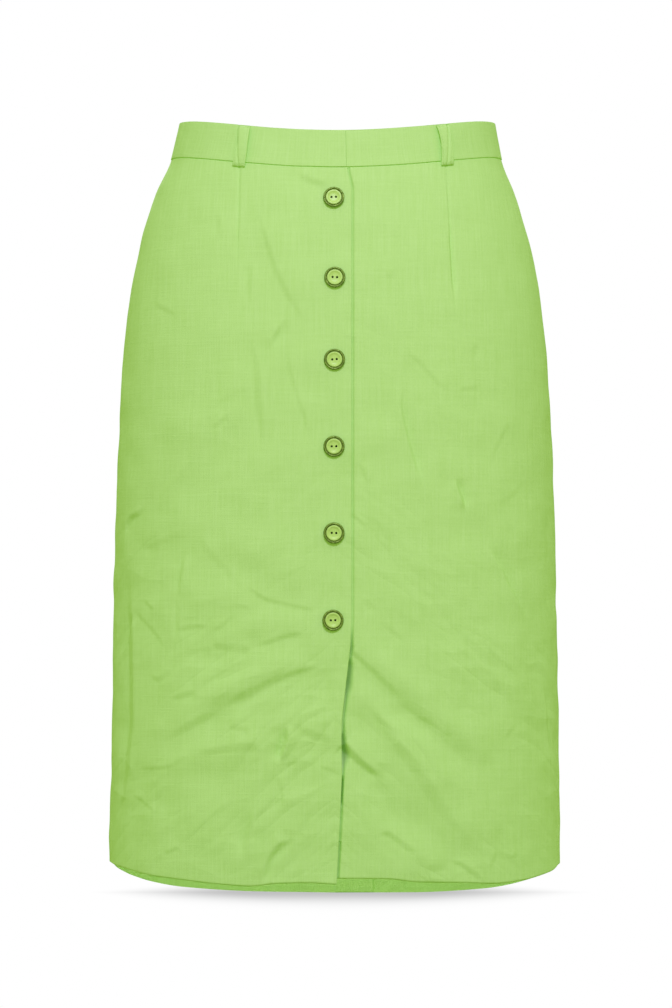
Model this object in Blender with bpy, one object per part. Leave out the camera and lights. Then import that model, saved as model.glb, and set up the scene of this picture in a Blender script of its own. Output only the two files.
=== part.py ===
"""Button-through a-line skirt, filled out as it is worn: four cloth panels, a vent underlap,
a waistband, four belt loops and six two-part buttons.

Metres, +Z up. The origin is the centre of the waist opening, the wearer faces -Y and the
wearer's left is +X. Every piece is worked out from one form: a level for each section of the
body of the skirt, an angle round it from centre front, and folds raised on it.
"""
import math
from collections import namedtuple

import bmesh
import bpy
import numpy as np
from mathutils import Matrix, Vector

# Cloth, in metres.
CLOTH = 0.0012
HEM_CLOTH = 0.0020
HEM_DEPTH = 0.032
BAND_CLOTH = 0.0022
BAND_PROUD = 0.0006
LOOP_CLOTH = 0.0014
SEAM_GAP = 0.0003

# Waist: the band's height, and how far the opening dips in front and behind.
BAND_HEIGHT = 0.031
FRONT_DIP = 0.0150
BACK_DIP = 0.0040
DIP_POWER = 2.6

# Front opening: the under layer's end and middle, the band's upper end, and where the under
# layer comes back up to the skirt's face beyond the free edge. Folds die out over the doubled
# cloth between the under layer's end and CALM_TO_X.
UNDERLAP_X = -0.020
UNDER_MIDDLE_X = -0.004
BAND_END_X = 0.0093
STEP_START = 0.0006
STEP_END = 0.0070
LIFT_REACH = 0.030
FALL_REACH = 0.014
CALM_TO_X = 0.004
CALM_REACH = 0.012

# Centre-back vent: its underlap's width and length.
VENT_WIDTH = 0.0335
VENT_LENGTH = 0.175

# Belt loops.
LOOP_SPAN = 0.0102
LOOP_BELOW_SEAM = 0.0038

# Buttons.
HOLE_RADIUS = 0.00090
HOLE_SPACING = 0.0035
CUTTER_LENGTH = 0.010
RING_SEGMENTS = 24
HOLE_SEGMENTS = 8

# Grid of the panels: rows down their length, and columns round the skirt.
LENGTH = 0.610
LOWER_START = 0.350
UPPER_ROW = 0.0215
LOWER_ROW = 0.0145
HEM_STEP = 0.0012
GRID_ROUNDS = 5
FRONT_COLUMNS = 15
BACK_COLUMNS = 11
BAND_COLUMNS = 64
SIDE_GAP = 0.0013
CENTRE_BACK_GAP = 0.0011
SHARP_ANGLE = math.radians(40)
SLOPE_STEP = 1e-4

Level = namedtuple("Level", "drop half_width front_depth back_depth squareness")
LEVELS = (
    Level(-0.010, 0.1369, 0.0915, 0.0885, 2.05),
    Level(0.000, 0.1381, 0.0930, 0.0900, 2.05),
    Level(0.031, 0.1434, 0.0980, 0.0945, 2.08),
    Level(0.060, 0.1550, 0.1050, 0.1010, 2.12),
    Level(0.100, 0.1678, 0.1130, 0.1110, 2.18),
    Level(0.150, 0.1777, 0.1195, 0.1220, 2.24),
    Level(0.200, 0.1833, 0.1230, 0.1290, 2.28),
    Level(0.270, 0.1873, 0.1255, 0.1310, 2.30),
    Level(0.360, 0.1905, 0.1262, 0.1290, 2.30),
    Level(0.450, 0.1922, 0.1265, 0.1278, 2.30),
    Level(0.550, 0.1936, 0.1270, 0.1272, 2.30),
    Level(0.680, 0.1958, 0.1275, 0.1275, 2.30),
)

# The hem's drop round each half, by the angle in degrees from centre front to centre back.
HemPoint = namedtuple("HemPoint", "angle drop")
RIGHT_HEM = (
    HemPoint(0, 0.6549), HemPoint(7, 0.6538), HemPoint(14, 0.6543), HemPoint(21, 0.6568),
    HemPoint(30, 0.6549), HemPoint(38, 0.6524), HemPoint(52, 0.6480), HemPoint(66, 0.6425),
    HemPoint(84, 0.6394), HemPoint(97, 0.6412), HemPoint(110, 0.6483), HemPoint(127, 0.6596),
    HemPoint(140, 0.6658), HemPoint(160, 0.6702), HemPoint(180, 0.6714),
)
LEFT_HEM = (
    HemPoint(0, 0.6500), HemPoint(8, 0.6502), HemPoint(13, 0.6505), HemPoint(21, 0.6534),
    HemPoint(32, 0.6540), HemPoint(42, 0.6552), HemPoint(52, 0.6528), HemPoint(66, 0.6468),
    HemPoint(80, 0.6409), HemPoint(90, 0.6408), HemPoint(106, 0.6462), HemPoint(122, 0.6572),
    HemPoint(140, 0.6670), HemPoint(160, 0.6710), HemPoint(180, 0.6714),
)

# The upper layer's free edge: where it lies, how far it stands out, and how far the
# under layer falls back behind it where the skirt is no longer buttoned.
Edge = namedtuple("Edge", "drop x lift fall")
EDGE = (
    Edge(0.000, 0.0093, 0.0000, 0.0000),
    Edge(0.049, 0.0106, 0.0000, 0.0000),
    Edge(0.064, 0.0140, 0.0000, 0.0000),
    Edge(0.432, 0.0140, 0.0000, 0.0000),
    Edge(0.454, 0.0131, 0.0003, 0.0010),
    Edge(0.486, 0.0093, 0.0010, 0.0028),
    Edge(0.516, 0.0059, 0.0012, 0.0024),
    Edge(0.531, 0.0055, 0.0014, 0.0034),
    Edge(0.563, 0.0059, 0.0008, 0.0014),
    Edge(0.609, 0.0038, 0.0004, 0.0006),
    Edge(0.648, 0.0017, 0.0003, 0.0004),
    Edge(0.680, 0.0012, 0.0003, 0.0004),
)

# Folds: each runs from one point to another on its side of the skirt, bowed below the straight
# line between them, and has a ridge on its upper side and a hollow on its lower side. It fades
# towards its ends, and near the side seams all folds die out.
FOLD_END = 0.12
FOLD_FADE = 0.7
SIDE_CALM = 0.04
SIDE_REACH = 0.22
Fold = namedtuple("Fold", "x_from drop_from x_to drop_to bow half_width rise")
FRONT_FOLDS = (
    Fold(-0.020, 0.468, -0.140, 0.531, -0.004, 0.0100, 0.0024),
    Fold(-0.016, 0.425, -0.108, 0.373, -0.009, 0.0110, 0.0018),
    Fold(-0.026, 0.438, -0.118, 0.458, -0.003, 0.0100, 0.0012),
    Fold(-0.050, 0.541, -0.165, 0.560, 0.004, 0.0110, 0.0016),
    Fold(-0.072, 0.237, -0.165, 0.345, 0.006, 0.0180, 0.0014),
    Fold(-0.166, 0.372, -0.130, 0.362, 0.000, 0.0110, 0.0014),
    Fold(-0.060, 0.090, -0.018, 0.182, 0.010, 0.0140, 0.0012),
    Fold(0.015, 0.457, 0.118, 0.547, 0.002, 0.0100, 0.0026),
    Fold(0.014, 0.488, 0.115, 0.618, 0.004, 0.0140, 0.0022),
    Fold(0.010, 0.538, 0.098, 0.619, 0.002, 0.0110, 0.0022),
    Fold(0.107, 0.313, 0.158, 0.425, 0.000, 0.0140, 0.0014),
    Fold(0.070, 0.214, 0.098, 0.237, 0.000, 0.0120, 0.0010),
)
BACK_FOLDS = (
    Fold(0.006, 0.475, 0.120, 0.560, 0.004, 0.0150, 0.0022),
    Fold(0.012, 0.540, 0.105, 0.625, 0.002, 0.0140, 0.0016),
    Fold(-0.008, 0.455, -0.128, 0.520, -0.004, 0.0150, 0.0020),
    Fold(-0.030, 0.552, -0.150, 0.590, 0.004, 0.0150, 0.0014),
    Fold(-0.060, 0.260, -0.150, 0.350, 0.006, 0.0190, 0.0014),
    Fold(0.075, 0.300, 0.150, 0.400, 0.000, 0.0170, 0.0012),
)

# A belt loop's run: the share of its length from the top, and how far its inner face stands out.
LoopPoint = namedtuple("LoopPoint", "share stand")
LOOP_RUN = (
    LoopPoint(0.00, 0.0011), LoopPoint(0.10, 0.0022), LoopPoint(0.28, 0.0030),
    LoopPoint(0.52, 0.0033), LoopPoint(0.74, 0.0028), LoopPoint(0.88, 0.0016),
    LoopPoint(1.00, 0.0004),
)
Loop = namedtuple("Loop", "name facing x_top x_bottom")
LOOPS = (
    Loop("belt_loop_front_right", "front", -0.0772, -0.0795),
    Loop("belt_loop_front_left", "front", 0.0900, 0.0925),
    Loop("belt_loop_back_right", "back", -0.0720, -0.0735),
    Loop("belt_loop_back_left", "back", 0.0720, 0.0735),
)

Button = namedtuple("Button", "drop x tilt stand")
BUTTONS = (
    Button(0.0728, -0.0010, 0, 0.0004),
    Button(0.1416, -0.0001, 0, 0.0004),
    Button(0.2115, -0.0004, 0, 0.0004),
    Button(0.2852, -0.0008, 0, 0.0004),
    Button(0.3585, -0.0008, 0, 0.0004),
    Button(0.4322, -0.0017, 3, 0.0008),
)

# Turned profiles of a button: a rim with a ledge, and the dished face that sits on the ledge.
Turn = namedtuple("Turn", "radius height")
RIM_PROFILE = (
    Turn(0.00480, 0.00000), Turn(0.00820, 0.00000), Turn(0.00900, 0.00110),
    Turn(0.00875, 0.00255), Turn(0.00790, 0.00305), Turn(0.00696, 0.00250),
    Turn(0.00696, 0.00115), Turn(0.00480, 0.00115),
)
FACE_PROFILE = (
    Turn(0.00600, 0.00145), Turn(0.00665, 0.00190), Turn(0.00635, 0.00268),
    Turn(0.00530, 0.00262), Turn(0.00450, 0.00228),
)

Finish = namedtuple("Finish", "name colour roughness metallic")
LIME_CLOTH = Finish("lime_cloth", (0.44, 0.70, 0.20), 0.85, 0.0)
RIM_METAL = Finish("aged_brass", (0.20, 0.19, 0.06), 0.45, 0.8)
FACE_RESIN = Finish("lime_resin", (0.42, 0.66, 0.22), 0.25, 0.0)


def smooth_through(xs, ys, x):
    """A smooth curve through the points of a table, with no overshoot between them."""
    xs = np.asarray(xs, float)
    ys = np.asarray(ys, float)
    step = np.diff(xs)
    rise = np.diff(ys) / step
    slope = np.zeros_like(ys)
    same_way = rise[:-1] * rise[1:] > 0
    mean = 2 * rise[:-1] * rise[1:] / np.where(same_way, rise[:-1] + rise[1:], 1.0)
    slope[1:-1] = np.where(same_way, mean, 0.0)
    slope[0] = rise[0]
    slope[-1] = rise[-1]
    x = np.clip(x, xs[0], xs[-1])
    i = np.clip(np.searchsorted(xs, x) - 1, 0, len(step) - 1)
    t = (x - xs[i]) / step[i]
    start = (1 + 2 * t) * (1 - t) ** 2 * ys[i] + t * (1 - t) ** 2 * step[i] * slope[i]
    end = t * t * (3 - 2 * t) * ys[i + 1] + t * t * (t - 1) * step[i] * slope[i + 1]
    return start + end


def column(table, name):
    """One named column of a table of rows."""
    return [getattr(row, name) for row in table]


def level(name, drop):
    """A size of the form at a drop below the waist opening."""
    return smooth_through(column(LEVELS, "drop"), column(LEVELS, name), drop)


def edge(name, drop):
    """Where the front edge lies, or how it stands, at a drop."""
    return np.interp(drop, column(EDGE, "drop"), column(EDGE, name))


def soft_step(t):
    """0 up to t = 0, 1 from t = 1, and smooth between."""
    t = np.clip(t, 0.0, 1.0)
    return t * t * (3 - 2 * t)


def fold_rise(folds, x, drop):
    """How far the folds lift the cloth, ridge above each fold's line and hollow below it."""
    total = np.zeros(np.broadcast(x, drop).shape)
    for fold in folds:
        run_x = fold.x_to - fold.x_from
        run_drop = fold.drop_to - fold.drop_from
        length = math.hypot(run_x, run_drop)
        side = math.copysign(1, run_x)
        along = ((x - fold.x_from) * run_x + (drop - fold.drop_from) * run_drop) / length
        below = ((drop - fold.drop_from) * run_x - (x - fold.x_from) * run_drop) / length * side
        share = np.clip(along / length, 0.0, 1.0)
        past_end = (along - share * length) / fold.half_width
        off = (below - fold.bow * 4 * share * (1 - share)) / fold.half_width
        swell = np.sin(math.pi * (FOLD_END + (1 - 2 * FOLD_END) * share)) ** FOLD_FADE
        fade = np.exp(-past_end ** 2) * swell
        total += -fold.rise * off * np.exp(0.5 - off ** 2 / 2) * fade
    return total


def base_point(angle, drop):
    """A point of the smooth form, with no folds, at an angle from centre front."""
    angle, drop = np.broadcast_arrays(angle, drop)
    half_width = level("half_width", drop)
    depth = np.where(np.cos(angle) > 0, level("front_depth", drop), level("back_depth", drop))
    power = level("squareness", drop)
    across = np.sin(angle)
    ahead = np.cos(angle)
    size = (np.abs(across) ** power + np.abs(ahead) ** power) ** (1 / power)
    return np.stack([half_width * across / size, -depth * ahead / size, -drop], axis=-1)


def base_normal(angle, drop):
    """The outward direction of the smooth form."""
    round_it = base_point(angle + SLOPE_STEP, drop) - base_point(angle - SLOPE_STEP, drop)
    down = base_point(angle, drop + SLOPE_STEP) - base_point(angle, drop - SLOPE_STEP)
    normal = np.cross(down, round_it)
    return normal / np.linalg.norm(normal, axis=-1, keepdims=True)


def cloth_point(angle, drop, out=0.0):
    """A point of the cloth's outer face, moved out by `out`."""
    angle, drop, out = np.broadcast_arrays(angle, drop, out)
    base = base_point(angle, drop)
    x = base[..., 0]
    calm = soft_step(np.maximum(UNDERLAP_X - x, x - CALM_TO_X) / CALM_REACH)
    rise = np.where(np.cos(angle) > 0, fold_rise(FRONT_FOLDS, x, drop) * calm,
                    fold_rise(BACK_FOLDS, x, drop))
    off_side = soft_step((np.abs(np.cos(angle)) - SIDE_CALM) / SIDE_REACH)
    return base + base_normal(angle, drop) * (rise * off_side + out)[..., None]


def angle_at(x, drop, facing="front"):
    """The angle at which the form reaches a distance from the centre line."""
    power = level("squareness", drop)
    share = np.clip(np.abs(x) / level("half_width", drop), 0.0, 0.999) ** power
    angle = np.arctan((share / (1 - share)) ** (1 / power)) * np.sign(x)
    return angle if facing == "front" else np.sign(x) * math.pi - angle


def waist_drop(angle):
    """How far the band's top edge lies below the waist opening's highest points."""
    ahead = np.cos(angle)
    front = FRONT_DIP * np.clip(ahead, 0, None) ** DIP_POWER
    return front + BACK_DIP * np.clip(-ahead, 0, None) ** DIP_POWER


def seam_drop(angle):
    """The waist seam, under the band."""
    return waist_drop(angle) + BAND_HEIGHT


def hem_drop(table, angle):
    """The hem's drop on one half, by the angle in radians from centre front."""
    return smooth_through(column(table, "angle"), column(table, "drop"), np.degrees(angle))


def row_shares():
    """Shares of a panel's length for its rows, with a pair of rows at the turned-up hem's edge."""
    upper = np.arange(0.0, LOWER_START, UPPER_ROW)
    lower = np.arange(upper[-1] + LOWER_ROW, LENGTH - HEM_DEPTH - LOWER_ROW / 2, LOWER_ROW)
    hem_edge = LENGTH - HEM_DEPTH
    hem = [hem_edge - HEM_STEP / 2, hem_edge + HEM_STEP / 2, LENGTH - HEM_DEPTH / 2, LENGTH]
    return np.concatenate([upper, lower, hem]) / LENGTH


def row_walls():
    """The cloth's thickness on each row, doubled over in the hem."""
    return np.where(row_shares() > 1 - HEM_DEPTH / LENGTH, HEM_CLOTH, CLOTH)[:, None]


def panel_grid(angles_of, hem_table):
    """Angle and drop of each crossing of a panel's rows and columns."""
    share = row_shares()[:, None]
    drop = BAND_HEIGHT + LENGTH * share
    for _ in range(GRID_ROUNDS):
        angle = angles_of(drop)
        top = seam_drop(angle) + SEAM_GAP
        drop = top + (hem_drop(hem_table, np.abs(angle)) - top) * share
    return angle, drop


def closed_wall(outer, inner):
    """Points and faces of a closed wall between two grids whose columns run towards +angle."""
    rows, columns = outer.shape[:2]
    count = rows * columns
    points = np.concatenate([outer.reshape(-1, 3), inner.reshape(-1, 3)])
    faces = []
    for i in range(rows - 1):
        for j in range(columns - 1):
            a = i * columns + j
            quad = (a, a + columns, a + columns + 1, a + 1)
            faces.append(quad)
            faces.append(tuple(count + k for k in reversed(quad)))
    border = list(range(columns))
    border += [i * columns + columns - 1 for i in range(1, rows)]
    border += [(rows - 1) * columns + j for j in range(columns - 2, -1, -1)]
    border += [i * columns for i in range(rows - 2, 0, -1)]
    for a, b in zip(border, border[1:] + border[:1]):
        faces.append((a, b, count + b, count + a))
    return points.tolist(), faces


def material(name, finish):
    """A Principled material of the piece's own."""
    made = bpy.data.materials.new(name + "_" + finish.name)
    made.use_nodes = True
    shader = made.node_tree.nodes["Principled BSDF"]
    shader.inputs["Base Color"].default_value = (*finish.colour, 1.0)
    shader.inputs["Roughness"].default_value = finish.roughness
    shader.inputs["Metallic"].default_value = finish.metallic
    return made


def finished(name, shape, finish):
    """An object from a shape's points and faces, in its own material."""
    points, faces = shape
    mesh = bpy.data.meshes.new(name)
    mesh.from_pydata(points, [], faces)
    mesh.shade_smooth()
    mesh.set_sharp_from_angle(angle=SHARP_ANGLE)
    mesh.materials.append(material(name, finish))
    piece = bpy.data.objects.new(name, mesh)
    bpy.context.scene.collection.objects.link(piece)
    return piece


def wide(drop, columns):
    """Drops of a grid's rows, spread over its columns."""
    return np.broadcast_to(drop, (drop.shape[0], columns))


def right_front_angles(drop):
    """Columns of the right front, from the side seam to the free edge that buttons over."""
    drop = wide(drop, FRONT_COLUMNS + 2)
    start = -math.pi / 2 + SIDE_GAP
    end = angle_at(UNDERLAP_X, drop[:, :FRONT_COLUMNS])
    even = start + (end - start) * np.linspace(0, 1, FRONT_COLUMNS)
    middle = angle_at(UNDER_MIDDLE_X, drop[:, -2:-1])
    free_edge = angle_at(edge("x", drop[:, -1:]), drop[:, -1:])
    return np.concatenate([even, middle, free_edge], axis=1)


def left_front_angles(drop):
    """Columns of the left front, from its end under the right front to the side seam."""
    drop = wide(drop, FRONT_COLUMNS + 3)
    under_end = angle_at(UNDERLAP_X, drop[:, :1])
    middle = angle_at(UNDER_MIDDLE_X, drop[:, 1:2])
    step = angle_at(edge("x", drop[:, 2:3]) + STEP_START, drop[:, 2:3])
    start = angle_at(edge("x", drop[:, 3:]) + STEP_END, drop[:, 3:])
    end = math.pi / 2 - SIDE_GAP
    even = start + (end - start) * np.linspace(0, 1, FRONT_COLUMNS)
    return np.concatenate([under_end, middle, step, even], axis=1)


def left_back_angles(drop):
    """Columns of the left back, from the side seam to centre back, the last two on the vent."""
    drop = wide(drop, BACK_COLUMNS + 2)
    start = math.pi / 2 + SIDE_GAP
    end = angle_at(VENT_WIDTH, drop[:, :BACK_COLUMNS], "back")
    even = start + (end - start) * np.linspace(0, 1, BACK_COLUMNS)
    vent_middle = angle_at(VENT_WIDTH / 2, drop[:, -2:-1], "back")
    centre = np.full_like(vent_middle, math.pi - CENTRE_BACK_GAP)
    return np.concatenate([even, vent_middle, centre], axis=1)


def right_back_angles(drop):
    """Columns of the right back, the left back's mirror image."""
    return -left_back_angles(drop)[:, ::-1]


def right_front_out(angle, drop):
    """The right front stands out a little along its free edge below the last button."""
    from_edge = edge("x", drop) - base_point(angle, drop)[..., 0]
    return edge("lift", drop) * np.exp(-np.clip(from_edge, 0, None) / LIFT_REACH)


def left_front_out(angle, drop):
    """The left front steps in under the right front, and falls back along the open vent."""
    past_edge = base_point(angle, drop)[..., 0] - edge("x", drop)
    under = 1 - soft_step((past_edge - STEP_START) / (STEP_END - STEP_START))
    fall = edge("fall", drop) * np.exp(-(np.clip(past_edge, 0, None) / FALL_REACH) ** 2)
    return -under * (row_walls() + SEAM_GAP) - fall


def flush(angle, drop):
    """A panel whose outer face is the form's own."""
    return np.zeros_like(drop)


Panel = namedtuple("Panel", "name angles_of hem_table out_of")
PANELS = (
    Panel("front_right", right_front_angles, RIGHT_HEM, right_front_out),
    Panel("front_left", left_front_angles, LEFT_HEM, left_front_out),
    Panel("back_left", left_back_angles, LEFT_HEM, flush),
    Panel("back_right", right_back_angles, RIGHT_HEM, flush),
)


def add_panel(spec):
    """A cloth panel from the waist seam to the hem."""
    angle, drop = panel_grid(spec.angles_of, spec.hem_table)
    out = spec.out_of(angle, drop)
    outer = cloth_point(angle, drop, out)
    inner = cloth_point(angle, drop, out - row_walls())
    finished(spec.name, closed_wall(outer, inner), LIME_CLOTH)


def add_vent_underlap():
    """The vent's underlap, on the left back's own points, moved in past its hem."""
    angle, drop = panel_grid(left_back_angles, LEFT_HEM)
    rows = row_shares() * LENGTH > LENGTH - VENT_LENGTH
    angle = angle[rows, -3:]
    drop = drop[rows, -3:]
    out = -HEM_CLOTH - SEAM_GAP
    outer = cloth_point(angle, drop, out)
    inner = cloth_point(angle, drop, out - CLOTH)
    finished("back_vent_underlap", closed_wall(outer, inner), LIME_CLOTH)


def add_waistband():
    """The band, once round from its end under the right front's end to that upper end."""
    front_drop = FRONT_DIP + BAND_HEIGHT / 2
    under_end = float(angle_at(UNDERLAP_X, front_drop))
    step = float(angle_at(BAND_END_X + STEP_START, front_drop))
    out_again = float(angle_at(BAND_END_X + STEP_END, front_drop))
    upper_end = 2 * math.pi + float(angle_at(BAND_END_X, front_drop))
    round_it = np.linspace(out_again, upper_end, BAND_COLUMNS)
    angle = np.concatenate([[under_end, (under_end + step) / 2, step], round_it])[None, :]
    down = np.linspace(0, 1, 3)[:, None]
    drop = waist_drop(angle) + BAND_HEIGHT * down
    past_end = base_point(angle, front_drop)[..., 0] - BAND_END_X
    turned_back = (angle > math.pi / 2) | (past_end > STEP_END)
    under = 1 - soft_step((past_end - STEP_START) / (STEP_END - STEP_START))
    out = BAND_PROUD - np.where(turned_back, 0.0, under) * (BAND_CLOTH + SEAM_GAP)
    outer = cloth_point(angle, drop, out)
    inner = cloth_point(angle, drop, out - BAND_CLOTH)
    finished("waistband", closed_wall(outer, inner), LIME_CLOTH)


def add_belt_loop(loop):
    """A strip over the band, sewn down at the top edge and just below the waist seam."""
    share = np.array(column(LOOP_RUN, "share"))[:, None]
    stand = np.array(column(LOOP_RUN, "stand"))[:, None]
    across = np.linspace(-LOOP_SPAN / 2, LOOP_SPAN / 2, 2)[None, :]
    if loop.facing == "back":
        across = -across
    x = loop.x_top + (loop.x_bottom - loop.x_top) * share + across
    angle = angle_at(x, BAND_HEIGHT * share, loop.facing)
    middle = angle.mean(axis=1, keepdims=True)
    drop = waist_drop(middle) + SEAM_GAP + (BAND_HEIGHT + LOOP_BELOW_SEAM) * share
    drop = drop + waist_drop(angle) - waist_drop(middle)
    outer = cloth_point(angle, drop, stand + LOOP_CLOTH)
    inner = cloth_point(angle, drop, stand)
    finished(loop.name, closed_wall(outer, inner), LIME_CLOTH)


def turned(profile, closed):
    """Points and faces of a profile turned round +Z, as a ring or as a capped disc."""
    points = []
    for turn in profile:
        for j in range(RING_SEGMENTS):
            around = 2 * math.pi * j / RING_SEGMENTS
            points.append((turn.radius * math.cos(around), turn.radius * math.sin(around), turn.height))
    faces = []
    steps = len(profile) if closed else len(profile) - 1
    for k in range(steps):
        low = k * RING_SEGMENTS
        high = (k + 1) % len(profile) * RING_SEGMENTS
        for j in range(RING_SEGMENTS):
            after = (j + 1) % RING_SEGMENTS
            faces.append((low + j, low + after, high + after, high + j))
    if not closed:
        top = (len(profile) - 1) * RING_SEGMENTS
        faces.append(tuple(reversed(range(RING_SEGMENTS))))
        faces.append(tuple(range(top, top + RING_SEGMENTS)))
    return points, faces


def face_with_holes():
    """Points and faces of a button's face with its two thread holes cut through."""
    blank = finished("face_blank", turned(FACE_PROFILE, closed=False), FACE_RESIN)
    cutters = []
    for side in (-1, 1):
        shape = bmesh.new()
        bmesh.ops.create_cone(shape, cap_ends=True, segments=HOLE_SEGMENTS, radius1=HOLE_RADIUS,
                              radius2=HOLE_RADIUS, depth=CUTTER_LENGTH)
        mesh = bpy.data.meshes.new("hole_cutter")
        shape.to_mesh(mesh)
        shape.free()
        cutter = bpy.data.objects.new("hole_cutter", mesh)
        cutter.location = (side * HOLE_SPACING / 2, 0, 0)
        bpy.context.scene.collection.objects.link(cutter)
        cut = blank.modifiers.new("hole", "BOOLEAN")
        cut.operation = "DIFFERENCE"
        cut.object = cutter
        cutters.append(cutter)
    bpy.context.view_layer.update()
    evaluated = blank.evaluated_get(bpy.context.evaluated_depsgraph_get())
    points = [tuple(point.co) for point in evaluated.data.vertices]
    faces = [tuple(face.vertices) for face in evaluated.data.polygons]
    for used in cutters + [blank]:
        bpy.data.objects.remove(used, do_unlink=True)
    return points, faces


def button_place(button):
    """Where a button sits: its axis is the cloth's outward direction, its holes side by side."""
    angle = angle_at(button.x, button.drop)
    normal = Vector(base_normal(angle, button.drop))
    centre = Vector(cloth_point(angle, button.drop, button.stand))
    across = Vector((1, 0, 0))
    across = (across - normal * across.dot(normal)).normalized()
    turn = Matrix((across, normal.cross(across), normal)).transposed().to_4x4()
    tilt = Matrix.Rotation(math.radians(button.tilt), 4, "Y")
    return Matrix.Translation(centre) @ turn @ tilt


def add_buttons():
    """Every button as a rim and a face in the same place."""
    rim = turned(RIM_PROFILE, closed=True)
    face = face_with_holes()
    for number, button in enumerate(BUTTONS, start=1):
        place = button_place(button)
        finished(f"button_rim_{number}", rim, RIM_METAL).matrix_world = place
        finished(f"button_face_{number}", face, FACE_RESIN).matrix_world = place


def main():
    for old in list(bpy.data.objects):
        bpy.data.objects.remove(old, do_unlink=True)
    for spec in PANELS:
        add_panel(spec)
    add_vent_underlap()
    add_waistband()
    for loop in LOOPS:
        add_belt_loop(loop)
    add_buttons()


main()
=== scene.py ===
"""Looks of a button-through a-line skirt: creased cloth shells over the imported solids, a soft
waistband, stitched belt loops, two-part buttons, their finishes, the stage and the camera.

Metres, +Z up. The origin is the centre of the waist opening, the wearer faces -Y and the
wearer's left is +X. The cloth is worked out from one form, as the solids are: an angle round it
from centre front and a drop below the waist opening, with folds and creases raised on it.
"""
import math
from collections import namedtuple

import bpy
import numpy as np
from mathutils import Matrix, Vector


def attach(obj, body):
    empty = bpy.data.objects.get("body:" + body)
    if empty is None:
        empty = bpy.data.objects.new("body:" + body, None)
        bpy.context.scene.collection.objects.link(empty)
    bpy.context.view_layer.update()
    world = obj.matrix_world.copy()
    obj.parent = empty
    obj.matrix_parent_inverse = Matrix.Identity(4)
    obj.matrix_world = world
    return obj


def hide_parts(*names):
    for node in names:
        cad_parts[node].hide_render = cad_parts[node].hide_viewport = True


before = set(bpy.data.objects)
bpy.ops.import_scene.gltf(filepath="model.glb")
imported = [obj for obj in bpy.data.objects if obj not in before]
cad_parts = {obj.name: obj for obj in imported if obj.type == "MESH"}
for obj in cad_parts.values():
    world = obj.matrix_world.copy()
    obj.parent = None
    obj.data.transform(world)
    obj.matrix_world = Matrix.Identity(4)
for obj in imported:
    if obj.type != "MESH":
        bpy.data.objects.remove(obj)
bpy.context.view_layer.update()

MM = 0.001

# Cloth of the solids, in metres.
CLOTH = 0.0012
HEM_CLOTH = 0.0020
HEM_DEPTH = 0.032
BAND_CLOTH = 0.0022
BAND_PROUD = 0.0006
LOOP_CLOTH = 0.0014
SEAM_GAP = 0.0003

# Waist.
BAND_HEIGHT = 0.031
FRONT_DIP = 0.0150
BACK_DIP = 0.0040
DIP_POWER = 2.6

# Front opening.
UNDERLAP_X = -0.020
BAND_END_X = 0.0093
LIFT_REACH = 0.030
CALM_TO_X = 0.004
CALM_REACH = 0.012

# Centre-back vent and belt loops.
VENT_WIDTH = 0.0335
VENT_LENGTH = 0.175
LOOP_SPAN = 0.0102
LOOP_BELOW_SEAM = 0.0038

LENGTH = 0.610
SLOPE_STEP = 1e-4
MOST_ACROSS = 0.999


def rows_of(kind, rows):
    """A table's rows, each with its columns' names."""
    return tuple(kind(*row) for row in rows)


Level = namedtuple("Level", "drop half_width front_depth back_depth squareness")
LEVELS = (
    Level(-0.010, 0.1369, 0.0915, 0.0885, 2.05),
    Level(0.000, 0.1381, 0.0930, 0.0900, 2.05),
    Level(0.031, 0.1434, 0.0980, 0.0945, 2.08),
    Level(0.060, 0.1550, 0.1050, 0.1010, 2.12),
    Level(0.100, 0.1678, 0.1130, 0.1110, 2.18),
    Level(0.150, 0.1777, 0.1195, 0.1220, 2.24),
    Level(0.200, 0.1833, 0.1230, 0.1290, 2.28),
    Level(0.270, 0.1873, 0.1255, 0.1310, 2.30),
    Level(0.360, 0.1905, 0.1262, 0.1290, 2.30),
    Level(0.450, 0.1922, 0.1265, 0.1278, 2.30),
    Level(0.550, 0.1936, 0.1270, 0.1272, 2.30),
    Level(0.680, 0.1958, 0.1275, 0.1275, 2.30),
)

# The hem's drop round each half, by the angle in degrees from centre front.
HemPoint = namedtuple("HemPoint", "angle drop")
RIGHT_HEM = rows_of(HemPoint, (
    (0, 0.6549), (7, 0.6538), (14, 0.6543), (21, 0.6568), (30, 0.6549), (38, 0.6524),
    (52, 0.6480), (66, 0.6425), (84, 0.6394), (97, 0.6410), (110, 0.6477), (127, 0.6586),
    (140, 0.6645), (160, 0.6688), (180, 0.6700),
))
LEFT_HEM = rows_of(HemPoint, (
    (0, 0.6500), (8, 0.6502), (13, 0.6505), (21, 0.6534), (32, 0.6540), (42, 0.6552),
    (52, 0.6528), (66, 0.6468), (80, 0.6409), (90, 0.6408), (106, 0.6457), (122, 0.6562),
    (140, 0.6656), (160, 0.6696), (180, 0.6700),
))

# The upper layer's free edge: where it lies and how far it stands out.
Edge = namedtuple("Edge", "drop x lift")
EDGE = rows_of(Edge, (
    (0.000, 0.0093, 0.0000), (0.049, 0.0106, 0.0000), (0.064, 0.0140, 0.0000),
    (0.432, 0.0140, 0.0000), (0.454, 0.0131, 0.0003), (0.486, 0.0093, 0.0010),
    (0.516, 0.0059, 0.0012), (0.531, 0.0055, 0.0014), (0.563, 0.0059, 0.0008),
    (0.609, 0.0038, 0.0004), (0.648, 0.0017, 0.0003), (0.680, 0.0012, 0.0003),
))

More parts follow.
